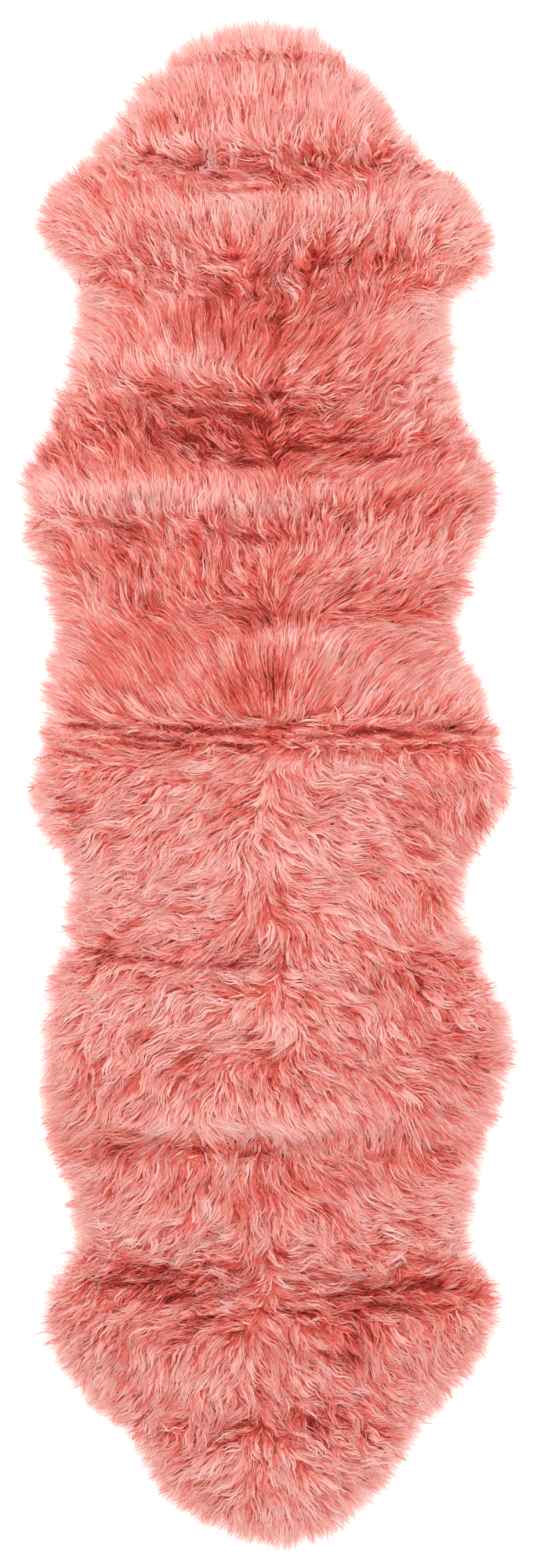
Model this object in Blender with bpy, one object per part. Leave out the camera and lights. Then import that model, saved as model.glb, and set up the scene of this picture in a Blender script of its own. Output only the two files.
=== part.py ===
"""A double lambskin floor rug: two long-wool pelts sewn rump to rump, lying flat.

Metres, +Z up. The origin is on the floor under the middle of the rug, +Y runs along
the spines towards the upper pelt's neck, and the lower pelt's neck is at -Y.
Each pelt is one closed solid: a lumpy slab with the height of its wool, and round
its trimmed edge the pointed locks of wool that lie out over the floor.
"""

import bpy
import numpy as np
from mathutils import Vector, noise
from mathutils.geometry import delaunay_2d_cdt

SEAM_Y = 0.055  # the rumps meet here, a little above the middle
SEAM_GAP = 0.0004  # clear space between the two cut edges
SEAM_STEP = 0.018  # spacing of the points along the seam

LOCK_PITCH = 0.0158  # width of a lock at its root, measured along the rim
LOCK_REACH = 0.027  # how far a lock lies out past the slab
LOCK_REACH_SPREAD = 0.24  # share by which a lock is longer or shorter
LOCK_WIDTH_SPREAD = 0.22  # share of the pitch by which a root's end is moved along the rim
LOCK_CURL = 0.10  # share of the length by which a lock bows to one side
LOCK_LEAN = 0.45  # how much a lock leans from square to the rim towards its pelt's neck
LOCK_SWING = 0.14  # uneven part of that lean
LOCK_WAIST_AT = 0.52  # share of the length at which a lock has its middle section
LOCK_WAIST_WIDTH = 0.60  # share of the root's width there
LOCK_WAIST_HEIGHT = 0.55  # share of the root's height there
LOCK_NEIGHBOURS = 4  # a lock stays clear of this many locks after it
LOCK_TRIM = 0.88  # share of its length that a lock keeps each time it is found to cross another

RIM_HEIGHT = 0.017  # wool height at the slab's edge
CROWN_HEIGHT = 0.038  # wool height well inside the pelt
CROWN_RUN = 0.075  # distance from the rim over which the wool rises to it
LOWEST_WOOL = 0.009

ROW_STEP = 0.0115  # spacing of the surface points along the spine
COLUMN_STEP = 0.0175  # and across it
POINT_JITTER = 0.25  # share of a step by which a surface point is moved
RIM_CLEARANCE = 0.008  # surface points keep this far inside the rim
SAME_POINT = 1e-7  # points closer than this count as one in a triangulation

UPPER_SEED = 11  # start of each pelt's random unevenness
LOWER_SEED = 23

TUFT_SIZE = (0.050, 0.030)  # size of a tuft of wool across and along the spine
TUFT_HEIGHT = 0.0075
TUFT_LAYER = 1.7  # level of the noise that the tufts are cut from
CURL_SIZE = (0.024, 0.017)
CURL_HEIGHT = 0.0040
CURL_LAYER = 5.3
RIM_LUMPS = 0.35  # share of the tufts' and curls' height that is left at the rim

CORAL = (0.80, 0.21, 0.18, 1.0)  # dyed wool, linear colour
DUSTY_CORAL = (0.78, 0.23, 0.20, 1.0)
WOOL_ROUGHNESS = 0.85

# The slab's edge at each section across the spine, from the seam to the neck.
# Columns: y, x of the left edge, x of the right edge.
UPPER_SECTIONS = (
    (SEAM_Y + SEAM_GAP / 2, -0.246, 0.247),
    (0.088, -0.242, 0.240),
    (0.115, -0.238, 0.226),
    (0.140, -0.232, 0.211),
    (0.171, -0.225, 0.202),  # waist above the seam
    (0.208, -0.232, 0.205),
    (0.245, -0.244, 0.220),
    (0.286, -0.260, 0.234),
    (0.318, -0.269, 0.243),
    (0.343, -0.271, 0.246),  # widest at the hind flanks
    (0.369, -0.263, 0.242),
    (0.397, -0.251, 0.226),
    (0.429, -0.238, 0.212),
    (0.466, -0.224, 0.202),
    (0.503, -0.210, 0.196),
    (0.535, -0.201, 0.192),
    (0.558, -0.198, 0.190),  # behind the forelegs
    (0.576, -0.200, 0.200),
    (0.594, -0.210, 0.232),
    (0.620, -0.230, 0.246),
    (0.644, -0.251, 0.246),  # the foreleg flaps
    (0.662, -0.256, 0.238),
    (0.679, -0.244, 0.225),
    (0.697, -0.230, 0.210),
    (0.715, -0.212, 0.192),
    (0.734, -0.194, 0.172),
    (0.757, -0.174, 0.147),
    (0.780, -0.157, 0.129),
    (0.803, -0.141, 0.117),
    (0.826, -0.119, 0.099),
    (0.845, -0.093, 0.074),
    (0.859, -0.066, 0.050),
    (0.869, -0.028, 0.024),  # top of the neck
)
LOWER_SECTIONS = (
    (SEAM_Y - SEAM_GAP / 2, -0.246, 0.250),
    (0.032, -0.250, 0.264),
    (0.009, -0.257, 0.267),
    (-0.014, -0.264, 0.260),  # widest at the rump
    (-0.037, -0.254, 0.248),
    (-0.060, -0.238, 0.233),
    (-0.083, -0.220, 0.216),
    (-0.106, -0.211, 0.208),
    (-0.134, -0.209, 0.208),  # waist
    (-0.166, -0.212, 0.213),
    (-0.194, -0.219, 0.224),
    (-0.222, -0.233, 0.241),
    (-0.249, -0.245, 0.256),
    (-0.286, -0.248, 0.264),
    (-0.318, -0.248, 0.266),  # the flanks
    (-0.346, -0.246, 0.257),
    (-0.374, -0.244, 0.246),
    (-0.406, -0.241, 0.236),
    (-0.438, -0.230, 0.227),
    (-0.471, -0.217, 0.223),
    (-0.503, -0.210, 0.219),
    (-0.535, -0.208, 0.215),  # behind the forelegs
    (-0.558, -0.219, 0.223),
    (-0.582, -0.237, 0.238),
    (-0.609, -0.246, 0.248),  # the foreleg flaps
    (-0.637, -0.246, 0.246),
    (-0.660, -0.238, 0.235),
    (-0.683, -0.220, 0.219),
    (-0.706, -0.203, 0.199),
    (-0.729, -0.184, 0.178),
    (-0.752, -0.164, 0.160),
    (-0.775, -0.141, 0.147),
    (-0.798, -0.126, 0.132),
    (-0.817, -0.110, 0.114),
    (-0.835, -0.091, 0.094),
    (-0.854, -0.062, 0.068),
    (-0.869, -0.020, 0.038),  # tip of the neck
)

# Ridges where the wool stands up, and partings (negative rise) where it falls open.
# Columns: y, x where it starts, x where it ends, rise, half width.
RIDGES = (
    (0.854, -0.110, 0.100, -0.005, 0.008),
    (0.826, -0.120, 0.110, 0.004, 0.014),
    (0.757, -0.150, 0.130, 0.004, 0.016),
    (0.727, -0.150, 0.200, -0.010, 0.014),
    (0.676, -0.170, 0.200, 0.007, 0.016),
    (0.640, -0.100, 0.200, -0.004, 0.014),
    (0.503, -0.220, -0.030, 0.006, 0.018),
    (0.443, -0.160, 0.080, -0.011, 0.012),
    (0.378, -0.190, 0.080, -0.010, 0.012),
    (0.340, -0.235, 0.100, 0.008, 0.018),
    (0.306, -0.200, 0.150, -0.005, 0.012),
    (0.194, -0.120, 0.010, -0.007, 0.012),
    (0.159, -0.080, 0.120, 0.009, 0.018),
    (0.055, -0.250, 0.250, -0.015, 0.013),
    (0.075, -0.250, -0.020, -0.006, 0.009),
    (0.036, -0.250, 0.100, -0.006, 0.009),
    (0.000, -0.200, 0.200, 0.004, 0.020),
    (-0.196, -0.220, 0.000, -0.010, 0.012),
    (-0.226, 0.130, 0.240, -0.007, 0.012),
    (-0.383, -0.170, 0.180, 0.009, 0.026),
    (-0.428, -0.180, 0.210, -0.012, 0.012),
    (-0.591, -0.210, 0.210, -0.012, 0.014),
    (-0.646, -0.200, 0.200, 0.005, 0.022),
    (-0.697, -0.220, -0.080, -0.008, 0.011),
    (-0.752, -0.080, 0.080, -0.008, 0.014),
)
RIDGE_END = 0.030  # distance over which a ridge fades out at either end
RIDGE_SWAY = 0.008  # how far a ridge strays from its straight line
RIDGE_SWAY_LENGTH = 0.11
RIDGE_SWAY_SHIFT = 2.1  # angle by which the next ridge's sway differs, in radians


def clear_scene():
    for item in list(bpy.data.objects):
        bpy.data.objects.remove(item, do_unlink=True)


def smooth_line(points, steps=6):
    """A Catmull-Rom curve through the points, as closely spaced points."""
    ends = np.vstack([2 * points[0] - points[1], points, 2 * points[-1] - points[-2]])
    a, b, c, d = (ends[i : len(ends) - 3 + i, None] for i in range(4))
    t = np.arange(steps)[None, :, None] / steps
    curve = 0.5 * (
        2 * b + (c - a) * t + (2 * a - 5 * b + 4 * c - d) * t**2 + (3 * b - a - 3 * c + d) * t**3
    )
    return np.vstack([curve.reshape(-1, 2), points[-1:]])


def stepped(line, pitch, moves=None):
    """The line again, as points one pitch apart, each moved along it by its share of a pitch."""
    lengths = np.linalg.norm(np.diff(line, axis=0), axis=1)
    along = np.concatenate([[0.0], np.cumsum(lengths)])
    count = round(along[-1] / pitch)
    wanted = np.linspace(0.0, along[-1], count + 1)
    if moves is not None:
        wanted[1:-1] += pitch * moves(count - 1)
    return np.column_stack([np.interp(wanted, along, line[:, axis]) for axis in (0, 1)])


def free_rim(sections, draw):
    """The trimmed edge, anticlockwise, from one end of the seam to the other."""
    rows = np.array(sections)
    left = rows[:, [1, 0]]
    right = rows[:, [2, 0]]
    if rows[-1, 0] > rows[0, 0]:
        corners = np.vstack([right, left[::-1]])
    else:
        corners = np.vstack([left, right[::-1]])
    spread = LOCK_WIDTH_SPREAD

    def uneven(count):
        return draw.uniform(-spread, spread, count)

    return stepped(smooth_line(corners), LOCK_PITCH, uneven)


def seam_edge(rim, seam_y):
    """The straight cut across the rump, from the rim's last point back to its first."""
    count = round(abs(rim[0, 0] - rim[-1, 0]) / SEAM_STEP)
    xs = np.linspace(rim[-1, 0], rim[0, 0], count + 1)[1:-1]
    return np.column_stack([xs, np.full(len(xs), seam_y)])


def distance_to(line, points):
    return np.linalg.norm(points[:, None] - line[None], axis=2).min(axis=1)


def is_inside(ring, points):
    """Whether each point lies inside the ring, by counting the edges to its right."""
    x, y = points[:, :1], points[:, 1:]
    x0, y0 = ring.T
    x1, y1 = np.roll(ring, -1, axis=0).T
    crosses = (y0 > y) != (y1 > y)
    rise = np.where(y1 == y0, 1.0, y1 - y0)
    return (crosses & (x < x0 + (y - y0) * (x1 - x0) / rise)).sum(axis=1) % 2 == 1


def surface_points(ring, draw):
    """Points inside the ring in uneven staggered rows, on which the wool's height is set."""
    low = ring.min(axis=0)
    high = ring.max(axis=0)
    ys = np.arange(low[1], high[1], ROW_STEP)
    xs = np.arange(low[0], high[0], COLUMN_STEP)
    grid_x, grid_y = np.meshgrid(xs, ys)
    grid_x[1::2] += COLUMN_STEP / 2
    points = np.column_stack([grid_x.ravel(), grid_y.ravel()])
    points += draw.uniform(-POINT_JITTER, POINT_JITTER, points.shape) * (COLUMN_STEP, ROW_STEP)
    clear = distance_to(stepped(ring, RIM_CLEARANCE / 2), points) > RIM_CLEARANCE
    return points[is_inside(ring, points) & clear]


def fade(values, start, end, run):
    """1 between start and end, falling to 0 over the run on either side."""
    rise = np.clip((values - start) / run + 1, 0, 1)
    fall = np.clip((end - values) / run + 1, 0, 1)
    return rise * rise * (3 - 2 * rise) * fall * fall * (3 - 2 * fall)


def lumps(points, size, layer):
    """Uneven lumps from -1 to 1, each about as large as the size says."""
    scaled = points / (2 * np.array(size))
    return np.array([2 * noise.noise(Vector((u, v, layer))) for u, v in scaled])


def wool_height(points, rim):
    """The height of the wool over the floor at each point."""
    inward = np.clip(distance_to(rim, points) / CROWN_RUN, 0, 1)
    height = RIM_HEIGHT + (CROWN_HEIGHT - RIM_HEIGHT) * np.sin(inward * np.pi / 2)
    x, y = points.T
    for row, (ridge_y, start, end, rise, half_width) in enumerate(RIDGES):
        sway = RIDGE_SWAY * np.sin(x / RIDGE_SWAY_LENGTH * np.pi + RIDGE_SWAY_SHIFT * row)
        profile = np.exp(-(((y - ridge_y - sway) / half_width) ** 2))
        height += rise * profile * fade(x, start, end, RIDGE_END)
    calm = RIM_LUMPS + (1 - RIM_LUMPS) * inward
    height += calm * TUFT_HEIGHT * lumps(points, TUFT_SIZE, TUFT_LAYER)
    height += calm * CURL_HEIGHT * lumps(points, CURL_SIZE, CURL_LAYER)
    return np.maximum(height, LOWEST_WOOL)


def triangles_within(ring, inner):
    """Triangles over the ring and the points inside it, as indices into both together."""
    points = [Vector(p) for p in np.vstack([ring, inner])]
    loop = list(range(len(ring)))
    made, _, faces, sources, _, _ = delaunay_2d_cdt(points, [], [loop], 1, SAME_POINT)
    if len(made) != len(points):
        raise ValueError("the ring crosses itself or two points coincide")
    return [[sources[corner][0] for corner in face] for face in faces]


def lock_directions(rim, neck_side, draw):
    """One outward direction for each stretch of the rim, leaning towards the neck."""
    along = np.diff(rim, axis=0)
    along /= np.linalg.norm(along, axis=1)[:, None]
    lean = LOCK_LEAN + draw.uniform(-LOCK_SWING, LOCK_SWING, len(along))
    out = np.column_stack([along[:, 1], -along[:, 0] + neck_side * lean])
    return out / np.linalg.norm(out, axis=1)[:, None]


def lock_outline(near, far, direction, reach, curl):
    """A lock seen from above: its root's ends, the sides of its waist and its tip."""
    middle = (near + far) / 2
    half = (far - near) / 2 * LOCK_WAIST_WIDTH
    sideways = np.array([-direction[1], direction[0]]) * curl
    waist = middle + (direction * LOCK_WAIST_AT + sideways) * reach
    return np.array([near, waist - half, middle + direction * reach, waist + half, far])


def outlines_cross(first, second):
    """Whether any side of one lock crosses a side of the other."""
    p, q = first[:-1, None], first[1:, None]
    r, s = second[None, :-1], second[None, 1:]

    def turn(a, b, c):
        ab = b - a
        ac = c - a
        return ab[..., 0] * ac[..., 1] - ab[..., 1] * ac[..., 0]

    apart = turn(p, q, r) * turn(p, q, s)
    across = turn(r, s, p) * turn(r, s, q)
    return bool(((apart < 0) & (across < 0)).any())


def lock_outlines(rim, neck_side, draw):
    """The outline of each lock round the rim, each short enough to cross no other."""
    directions = lock_directions(rim, neck_side, draw)
    count = len(directions)
    spread = LOCK_REACH_SPREAD
    reaches = LOCK_REACH * draw.uniform(1 - spread, 1 + spread, count)
    curls = draw.uniform(-LOCK_CURL, LOCK_CURL, count)

    def outline(i):
        return lock_outline(rim[i], rim[i + 1], directions[i], reaches[i], curls[i])

    crossing = True
    while crossing:
        crossing = False
        for i in range(count):
            for j in range(i + 1, min(i + 1 + LOCK_NEIGHBOURS, count)):
                if outlines_cross(outline(i), outline(j)):
                    reaches[[i, j]] *= LOCK_TRIM
                    crossing = True
    return [outline(i) for i in range(count)]


def add_locks(vertices, faces, rim, heights, neck_side, draw):
    """A pointed four-sided lock on each stretch of the rim, level on the floor.

    vertices starts with the rim's lower points, and heights holds the indices of the
    upper ones.
    """
    top = RIM_HEIGHT * LOCK_WAIST_HEIGHT
    for i, outline in enumerate(lock_outlines(rim, neck_side, draw)):
        _, waist_near, point, waist_far, _ = outline
        first = len(vertices)
        tip = first + 4
        for waist, z in ((waist_near, 0.0), (waist_far, 0.0), (waist_far, top), (waist_near, top)):
            vertices.append((*waist, z))
        vertices.append((*point, 0.0))
        root = (i, i + 1, heights[i + 1], heights[i])
        for k in range(4):
            after = (k + 1) % 4
            faces.append((root[k], root[after], first + after, first + k))
            faces.append((first + k, first + after, tip))


def build_pelt(name, sections, neck_side, seed, colour):
    """One pelt: flat hide side, lumpy wool side, a cut wall at the seam and locks round the rim."""
    draw = np.random.default_rng(seed)
    rim = free_rim(sections, draw)
    seam = seam_edge(rim, sections[0][0])
    ring = np.vstack([rim, seam])
    inner = surface_points(ring, draw)
    count = len(ring)
    upper = np.vstack([ring, inner])
    heights = wool_height(upper, rim)
    heights[: len(rim)] = RIM_HEIGHT

    vertices = [(x, y, 0.0) for x, y in ring]
    vertices += [(x, y, z) for (x, y), z in zip(upper, heights)]
    faces = [tuple(reversed(face)) for face in triangles_within(ring, np.empty((0, 2)))]
    faces += [tuple(count + corner for corner in face) for face in triangles_within(ring, inner)]
    for i in range(len(rim) - 1, count):
        after = (i + 1) % count
        faces.append((i, after, count + after, count + i))
    add_locks(vertices, faces, rim, range(count, count + len(rim)), neck_side, draw)

    mesh = bpy.data.meshes.new(name)
    mesh.from_pydata(vertices, [], faces)
    mesh.materials.append(wool_material(f"{name}_wool", colour))
    pelt = bpy.data.objects.new(name, mesh)
    bpy.context.scene.collection.objects.link(pelt)
    return pelt


def wool_material(name, colour):
    material = bpy.data.materials.new(name)
    material.use_nodes = True
    shader = material.node_tree.nodes["Principled BSDF"]
    shader.inputs["Base Color"].default_value = colour
    shader.inputs["Roughness"].default_value = WOOL_ROUGHNESS
    shader.inputs["Metallic"].default_value = 0.0
    return material


def centre_over_origin(pelts):
    """Moves the pelts together so that the middle of their outline is over the origin."""
    corners = np.array([vertex.co.xy for pelt in pelts for vertex in pelt.data.vertices])
    middle = (corners.min(axis=0) + corners.max(axis=0)) / 2
    for pelt in pelts:
        for vertex in pelt.data.vertices:
            vertex.co.x -= middle[0]
            vertex.co.y -= middle[1]


clear_scene()
centre_over_origin(
    [
        build_pelt("pelt_upper", UPPER_SECTIONS, 1, UPPER_SEED, CORAL),
        build_pelt("pelt_lower", LOWER_SECTIONS, -1, LOWER_SEED, DUSTY_CORAL),
    ]
)
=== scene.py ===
"""Looks of the double lambskin rug: two dyed long-wool pelts on their sueded hides.

Metres, +Z up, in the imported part's frame. The hides' outlines and the height of the wool are
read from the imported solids, and strands of wool are combed over them.
"""

import math

import bpy
import numpy as np
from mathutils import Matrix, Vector
from mathutils.bvhtree import BVHTree
from mathutils.geometry import delaunay_2d_cdt


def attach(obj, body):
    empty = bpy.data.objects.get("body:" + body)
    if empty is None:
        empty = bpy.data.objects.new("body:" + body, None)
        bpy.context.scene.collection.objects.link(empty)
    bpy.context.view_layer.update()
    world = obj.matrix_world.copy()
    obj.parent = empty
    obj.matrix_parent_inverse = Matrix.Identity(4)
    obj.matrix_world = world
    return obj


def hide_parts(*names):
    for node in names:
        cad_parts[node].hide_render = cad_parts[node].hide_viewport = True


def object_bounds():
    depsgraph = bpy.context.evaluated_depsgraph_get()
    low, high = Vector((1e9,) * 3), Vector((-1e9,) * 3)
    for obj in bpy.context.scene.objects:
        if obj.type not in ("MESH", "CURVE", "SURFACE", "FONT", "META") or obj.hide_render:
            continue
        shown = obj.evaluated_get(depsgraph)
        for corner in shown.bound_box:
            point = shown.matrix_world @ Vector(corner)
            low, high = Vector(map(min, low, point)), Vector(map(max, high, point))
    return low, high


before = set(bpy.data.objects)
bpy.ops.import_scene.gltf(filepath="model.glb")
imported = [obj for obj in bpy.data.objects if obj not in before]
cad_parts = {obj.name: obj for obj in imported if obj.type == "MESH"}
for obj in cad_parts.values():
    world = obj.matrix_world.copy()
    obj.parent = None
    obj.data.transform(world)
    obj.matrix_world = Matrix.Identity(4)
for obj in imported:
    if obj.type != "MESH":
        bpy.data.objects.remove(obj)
CAD_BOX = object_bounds()

TINY = 1e-9  # keeps divisors off zero
FAR = 9.0  # further than any two points of the rug
ROW_GAP = 0.866  # distance between the rows of a staggered pattern, over its pitch
LAST_CELL = 1.001  # keeps a point at a grid's far edge within its last cell

# The hides' outlines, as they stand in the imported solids.
RIM_HEIGHT = 0.017  # height of the solids at the hide's edge
RIM_HEIGHT_ERROR = 2e-5
RIM_DIGITS = 5  # decimals to which the solids' points are compared
SAME_POINT = 0.002  # rim points nearer to each other than this are one
RIM_STEP = 0.004  # spacing of the points from which the distance to the rim is read
SEAM_NEAR = 0.0015  # outline points this near to the seam's line aren't on the trimmed rim
SEAM_CLOSE = 0.001  # how far a pelt's neighbour is moved, to close the gap at the seam
OTHER_RIM_WITHIN = 0.10  # how far past the seam a pelt's grids follow the other pelt
MOST_PAST = 0.022  # how far past the solids' box a strand may end
OUTMOST = np.abs(CAD_BOX).max(axis=0)[:2] + MOST_PAST

# The grids that hold each pelt's heights, directions and tones.
CELL = 0.003
GRID_MARGIN = 0.05  # how far they reach past the hide
RAY_TOP = 0.2  # height from which the solids are measured
FRINGE_FALL = 0.034  # distance past the hide over which the wool comes down to the floor
FRINGE_SLOPE = 1.3  # power of that fall: 1 is straight
FLOOR_WOOL = 0.0025  # height of the wool's surface where it has come down
HEIGHT_BLURS = 2  # rounds of smoothing of the height
SEAM_FILL = 0.009  # height by which the combed wool closes over the seam
SEAM_FILL_RUN = 0.013  # distance from the seam over which it does so
SEAM_FILL_RIM = 0.03  # distance from the rim over which this begins

# How the wool is combed. Columns: y, then the direction of the tips in degrees,
# anticlockwise from +X, at each of the stations across the pelt.
COMB_STATIONS = (-0.24, -0.15, -0.07, -0.02, 0.02, 0.07, 0.15, 0.24)
COMB_UPPER = (
    (0.900, 125, 118, 108, 98, 88, 76, 64, 52),
    (0.881, 125, 118, 108, 98, 88, 78, 68, 58),
    (0.822, 130, 113, 100, 96, 91, 84, 66, 50),
    (0.775, 145, 118, 98, 93, 89, 80, 62, 45),
    (0.735, 158, 140, 140, 150, 130, 110, 60, 35),
    (0.722, 160, 145, 165, 178, 172, 130, 52, 30),
    (0.700, 155, 130, 120, 120, 110, 95, 60, 34),
    (0.678, 152, 118, 100, 93, 86, 81, 69, 38),
    (0.637, 150, 120, 105, 80, 60, 55, 82, 27),
    (0.595, 155, 150, 130, 90, 60, 52, 39, 20),
    (0.577, 155, 140, 115, 95, 65, 50, 37, 25),
    (0.535, 140, 115, 98, 90, 72, 52, 43, 40),
    (0.498, 125, 108, 94, 72, 48, 35, 42, 45),
    (0.462, 120, 135, 152, 160, 40, 15, 32, 45),
    (0.425, 115, 110, 135, 150, 60, 10, 15, 40),
    (0.388, 105, 115, 147, 168, 80, 12, 25, 48),
    (0.362, 125, 105, 105, 110, 88, 50, 35, 38),
    (0.342, 115, 99, 90, 86, 88, 86, 50, 30),
    (0.322, 130, 105, 95, 95, 84, 76, 55, 50),
    (0.305, 155, 128, 120, 130, 70, 60, 62, 80),
    (0.268, 120, 100, 88, 118, 65, 47, 50, 60),
    (0.231, 127, 105, 95, 145, 90, 44, 34, 15),
    (0.194, 140, 130, 178, 172, 100, 12, 10, 0),
    (0.157, 148, 122, 125, 105, 86, 62, 30, 18),
    (0.120, 130, 119, 120, 112, 88, 48, 44, 60),
    (0.088, 146, 131, 127, 108, 78, 53, 68, 70),
    (0.066, 168, 178, 184, 180, 5, 2, 5, 18),
)
COMB_LOWER = (
    (0.050, 172, 180, 186, 190, 350, 358, 356, 10),
    (0.034, 182, 186, 190, 197, 220, 254, 276, 300),
    (0.014, 192, 208, 198, 200, 280, 357, 322, 300),
    (-0.023, 175, 215, 222, 205, 290, 354, 325, 290),
    (-0.060, 212, 219, 215, 230, 325, 343, 349, 280),
    (-0.079, 215, 208, 230, 290, 322, 337, 335, 325),
    (-0.120, 203, 196, 214, 255, 300, 323, 325, 280),
    (-0.162, 185, 191, 198, 245, 300, 325, 315, 280),
    (-0.194, 200, 196, 197, 220, 270, 331, 334, 330),
    (-0.231, 215, 207, 188, 190, 310, 333, 321, 330),
    (-0.272, 237, 225, 205, 250, 325, 321, 302, 336),
    (-0.314, 244, 232, 193, 210, 245, 299, 310, 358),
    (-0.351, 222, 240, 225, 270, 297, 320, 320, 330),
    (-0.388, 228, 250, 262, 282, 294, 298, 285, 330),
    (-0.420, 223, 219, 266, 270, 272, 277, 292, 332),
    (-0.452, 205, 225, 266, 270, 278, 300, 318, 336),
    (-0.489, 205, 224, 261, 269, 290, 310, 330, 346),
    (-0.522, 195, 215, 195, 240, 325, 292, 350, 360),
    (-0.554, 197, 188, 180, 260, 335, 302, 355, 385),
    (-0.586, 194, 182, 185, 200, 320, 349, 370, 378),
    (-0.614, 217, 201, 191, 198, 290, 345, 312, 305),
    (-0.646, 233, 240, 220, 264, 279, 295, 310, 298),
    (-0.688, 215, 247, 252, 270, 278, 300, 319, 315),
    (-0.720, 215, 235, 258, 281, 295, 310, 313, 318),
    (-0.757, 215, 223, 203, 220, 270, 325, 330, 330),
    (-0.794, 195, 204, 230, 278, 305, 322, 335, 340),
    (-0.831, 200, 208, 234, 266, 288, 310, 325, 335),
    (-0.868, 210, 222, 238, 261, 283, 308, 322, 335),
)

# How the wool looks. Columns: y, silkiness (1 straight and fine, 0 tufted and curly), then its
# tone (0 deep and saturated, 1 pale) at each station across the pelt. The tone is partly the dye's
# own and partly painted light: pale bands are painted sheen where the wool faces the light, deep
# ones painted shade.
LOOK_STATIONS = (-0.20, -0.10, 0.0, 0.10, 0.20)
LOOK_UPPER = (
    (0.895, 0.9, 0.75, 0.75, 0.75, 0.75, 0.75),
    (0.872, 0.9, 0.70, 0.70, 0.70, 0.70, 0.70),
    (0.854, 0.7, 0.55, 0.55, 0.55, 0.55, 0.60),
    (0.831, 0.9, 0.72, 0.63, 0.70, 0.72, 0.70),
    (0.808, 0.9, 0.70, 0.63, 0.68, 0.71, 0.70),
    (0.787, 0.8, 0.68, 0.60, 0.55, 0.70, 0.68),
    (0.757, 0.9, 0.84, 0.86, 0.75, 0.74, 0.67),
    (0.738, 0.3, 0.60, 0.60, 0.53, 0.58, 0.60),
    (0.724, 0.1, 0.38, 0.46, 0.37, 0.40, 0.55),
    (0.702, 0.3, 0.45, 0.48, 0.48, 0.53, 0.60),
    (0.678, 1.0, 0.53, 0.82, 0.90, 0.93, 0.73),
    (0.660, 0.8, 0.60, 0.68, 0.72, 0.65, 0.70),
    (0.637, 0.5, 0.68, 0.60, 0.54, 0.45, 0.75),
    (0.614, 0.4, 0.60, 0.55, 0.41, 0.30, 0.58),
    (0.595, 0.2, 0.55, 0.45, 0.35, 0.45, 0.65),
    (0.577, 0.2, 0.55, 0.42, 0.31, 0.42, 0.65),
    (0.554, 0.5, 0.58, 0.38, 0.26, 0.44, 0.70),
    (0.526, 0.9, 0.57, 0.38, 0.22, 0.45, 0.78),
    (0.503, 0.9, 0.72, 0.62, 0.36, 0.38, 0.73),
    (0.485, 0.7, 0.53, 0.70, 0.42, 0.50, 0.75),
    (0.462, 0.4, 0.50, 0.44, 0.39, 0.46, 0.70),
    (0.425, 0.4, 0.33, 0.30, 0.24, 0.42, 0.46),
    (0.388, 0.4, 0.34, 0.14, 0.18, 0.29, 0.33),
    (0.369, 0.6, 0.45, 0.35, 0.35, 0.35, 0.52),
    (0.346, 1.0, 0.74, 0.75, 0.62, 0.62, 0.48),
    (0.328, 1.0, 0.82, 0.94, 0.80, 0.66, 0.43),
    (0.314, 0.4, 0.44, 0.46, 0.40, 0.54, 0.46),
    (0.295, 0.3, 0.36, 0.32, 0.32, 0.46, 0.53),
    (0.268, 0.6, 0.42, 0.41, 0.43, 0.61, 0.72),
    (0.231, 0.6, 0.50, 0.53, 0.32, 0.50, 0.53),
    (0.194, 0.6, 0.48, 0.30, 0.34, 0.44, 0.47),
    (0.171, 0.9, 0.36, 0.26, 0.34, 0.54, 0.40),
    (0.148, 0.9, 0.36, 0.40, 0.42, 0.66, 0.50),
    (0.120, 0.9, 0.32, 0.36, 0.28, 0.60, 0.54),
    (0.097, 0.9, 0.63, 0.62, 0.42, 0.58, 0.69),
    (0.074, 0.7, 0.67, 0.64, 0.55, 0.50, 0.50),
    (0.060, 0.7, 0.60, 0.50, 0.45, 0.48, 0.50),
)
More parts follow.
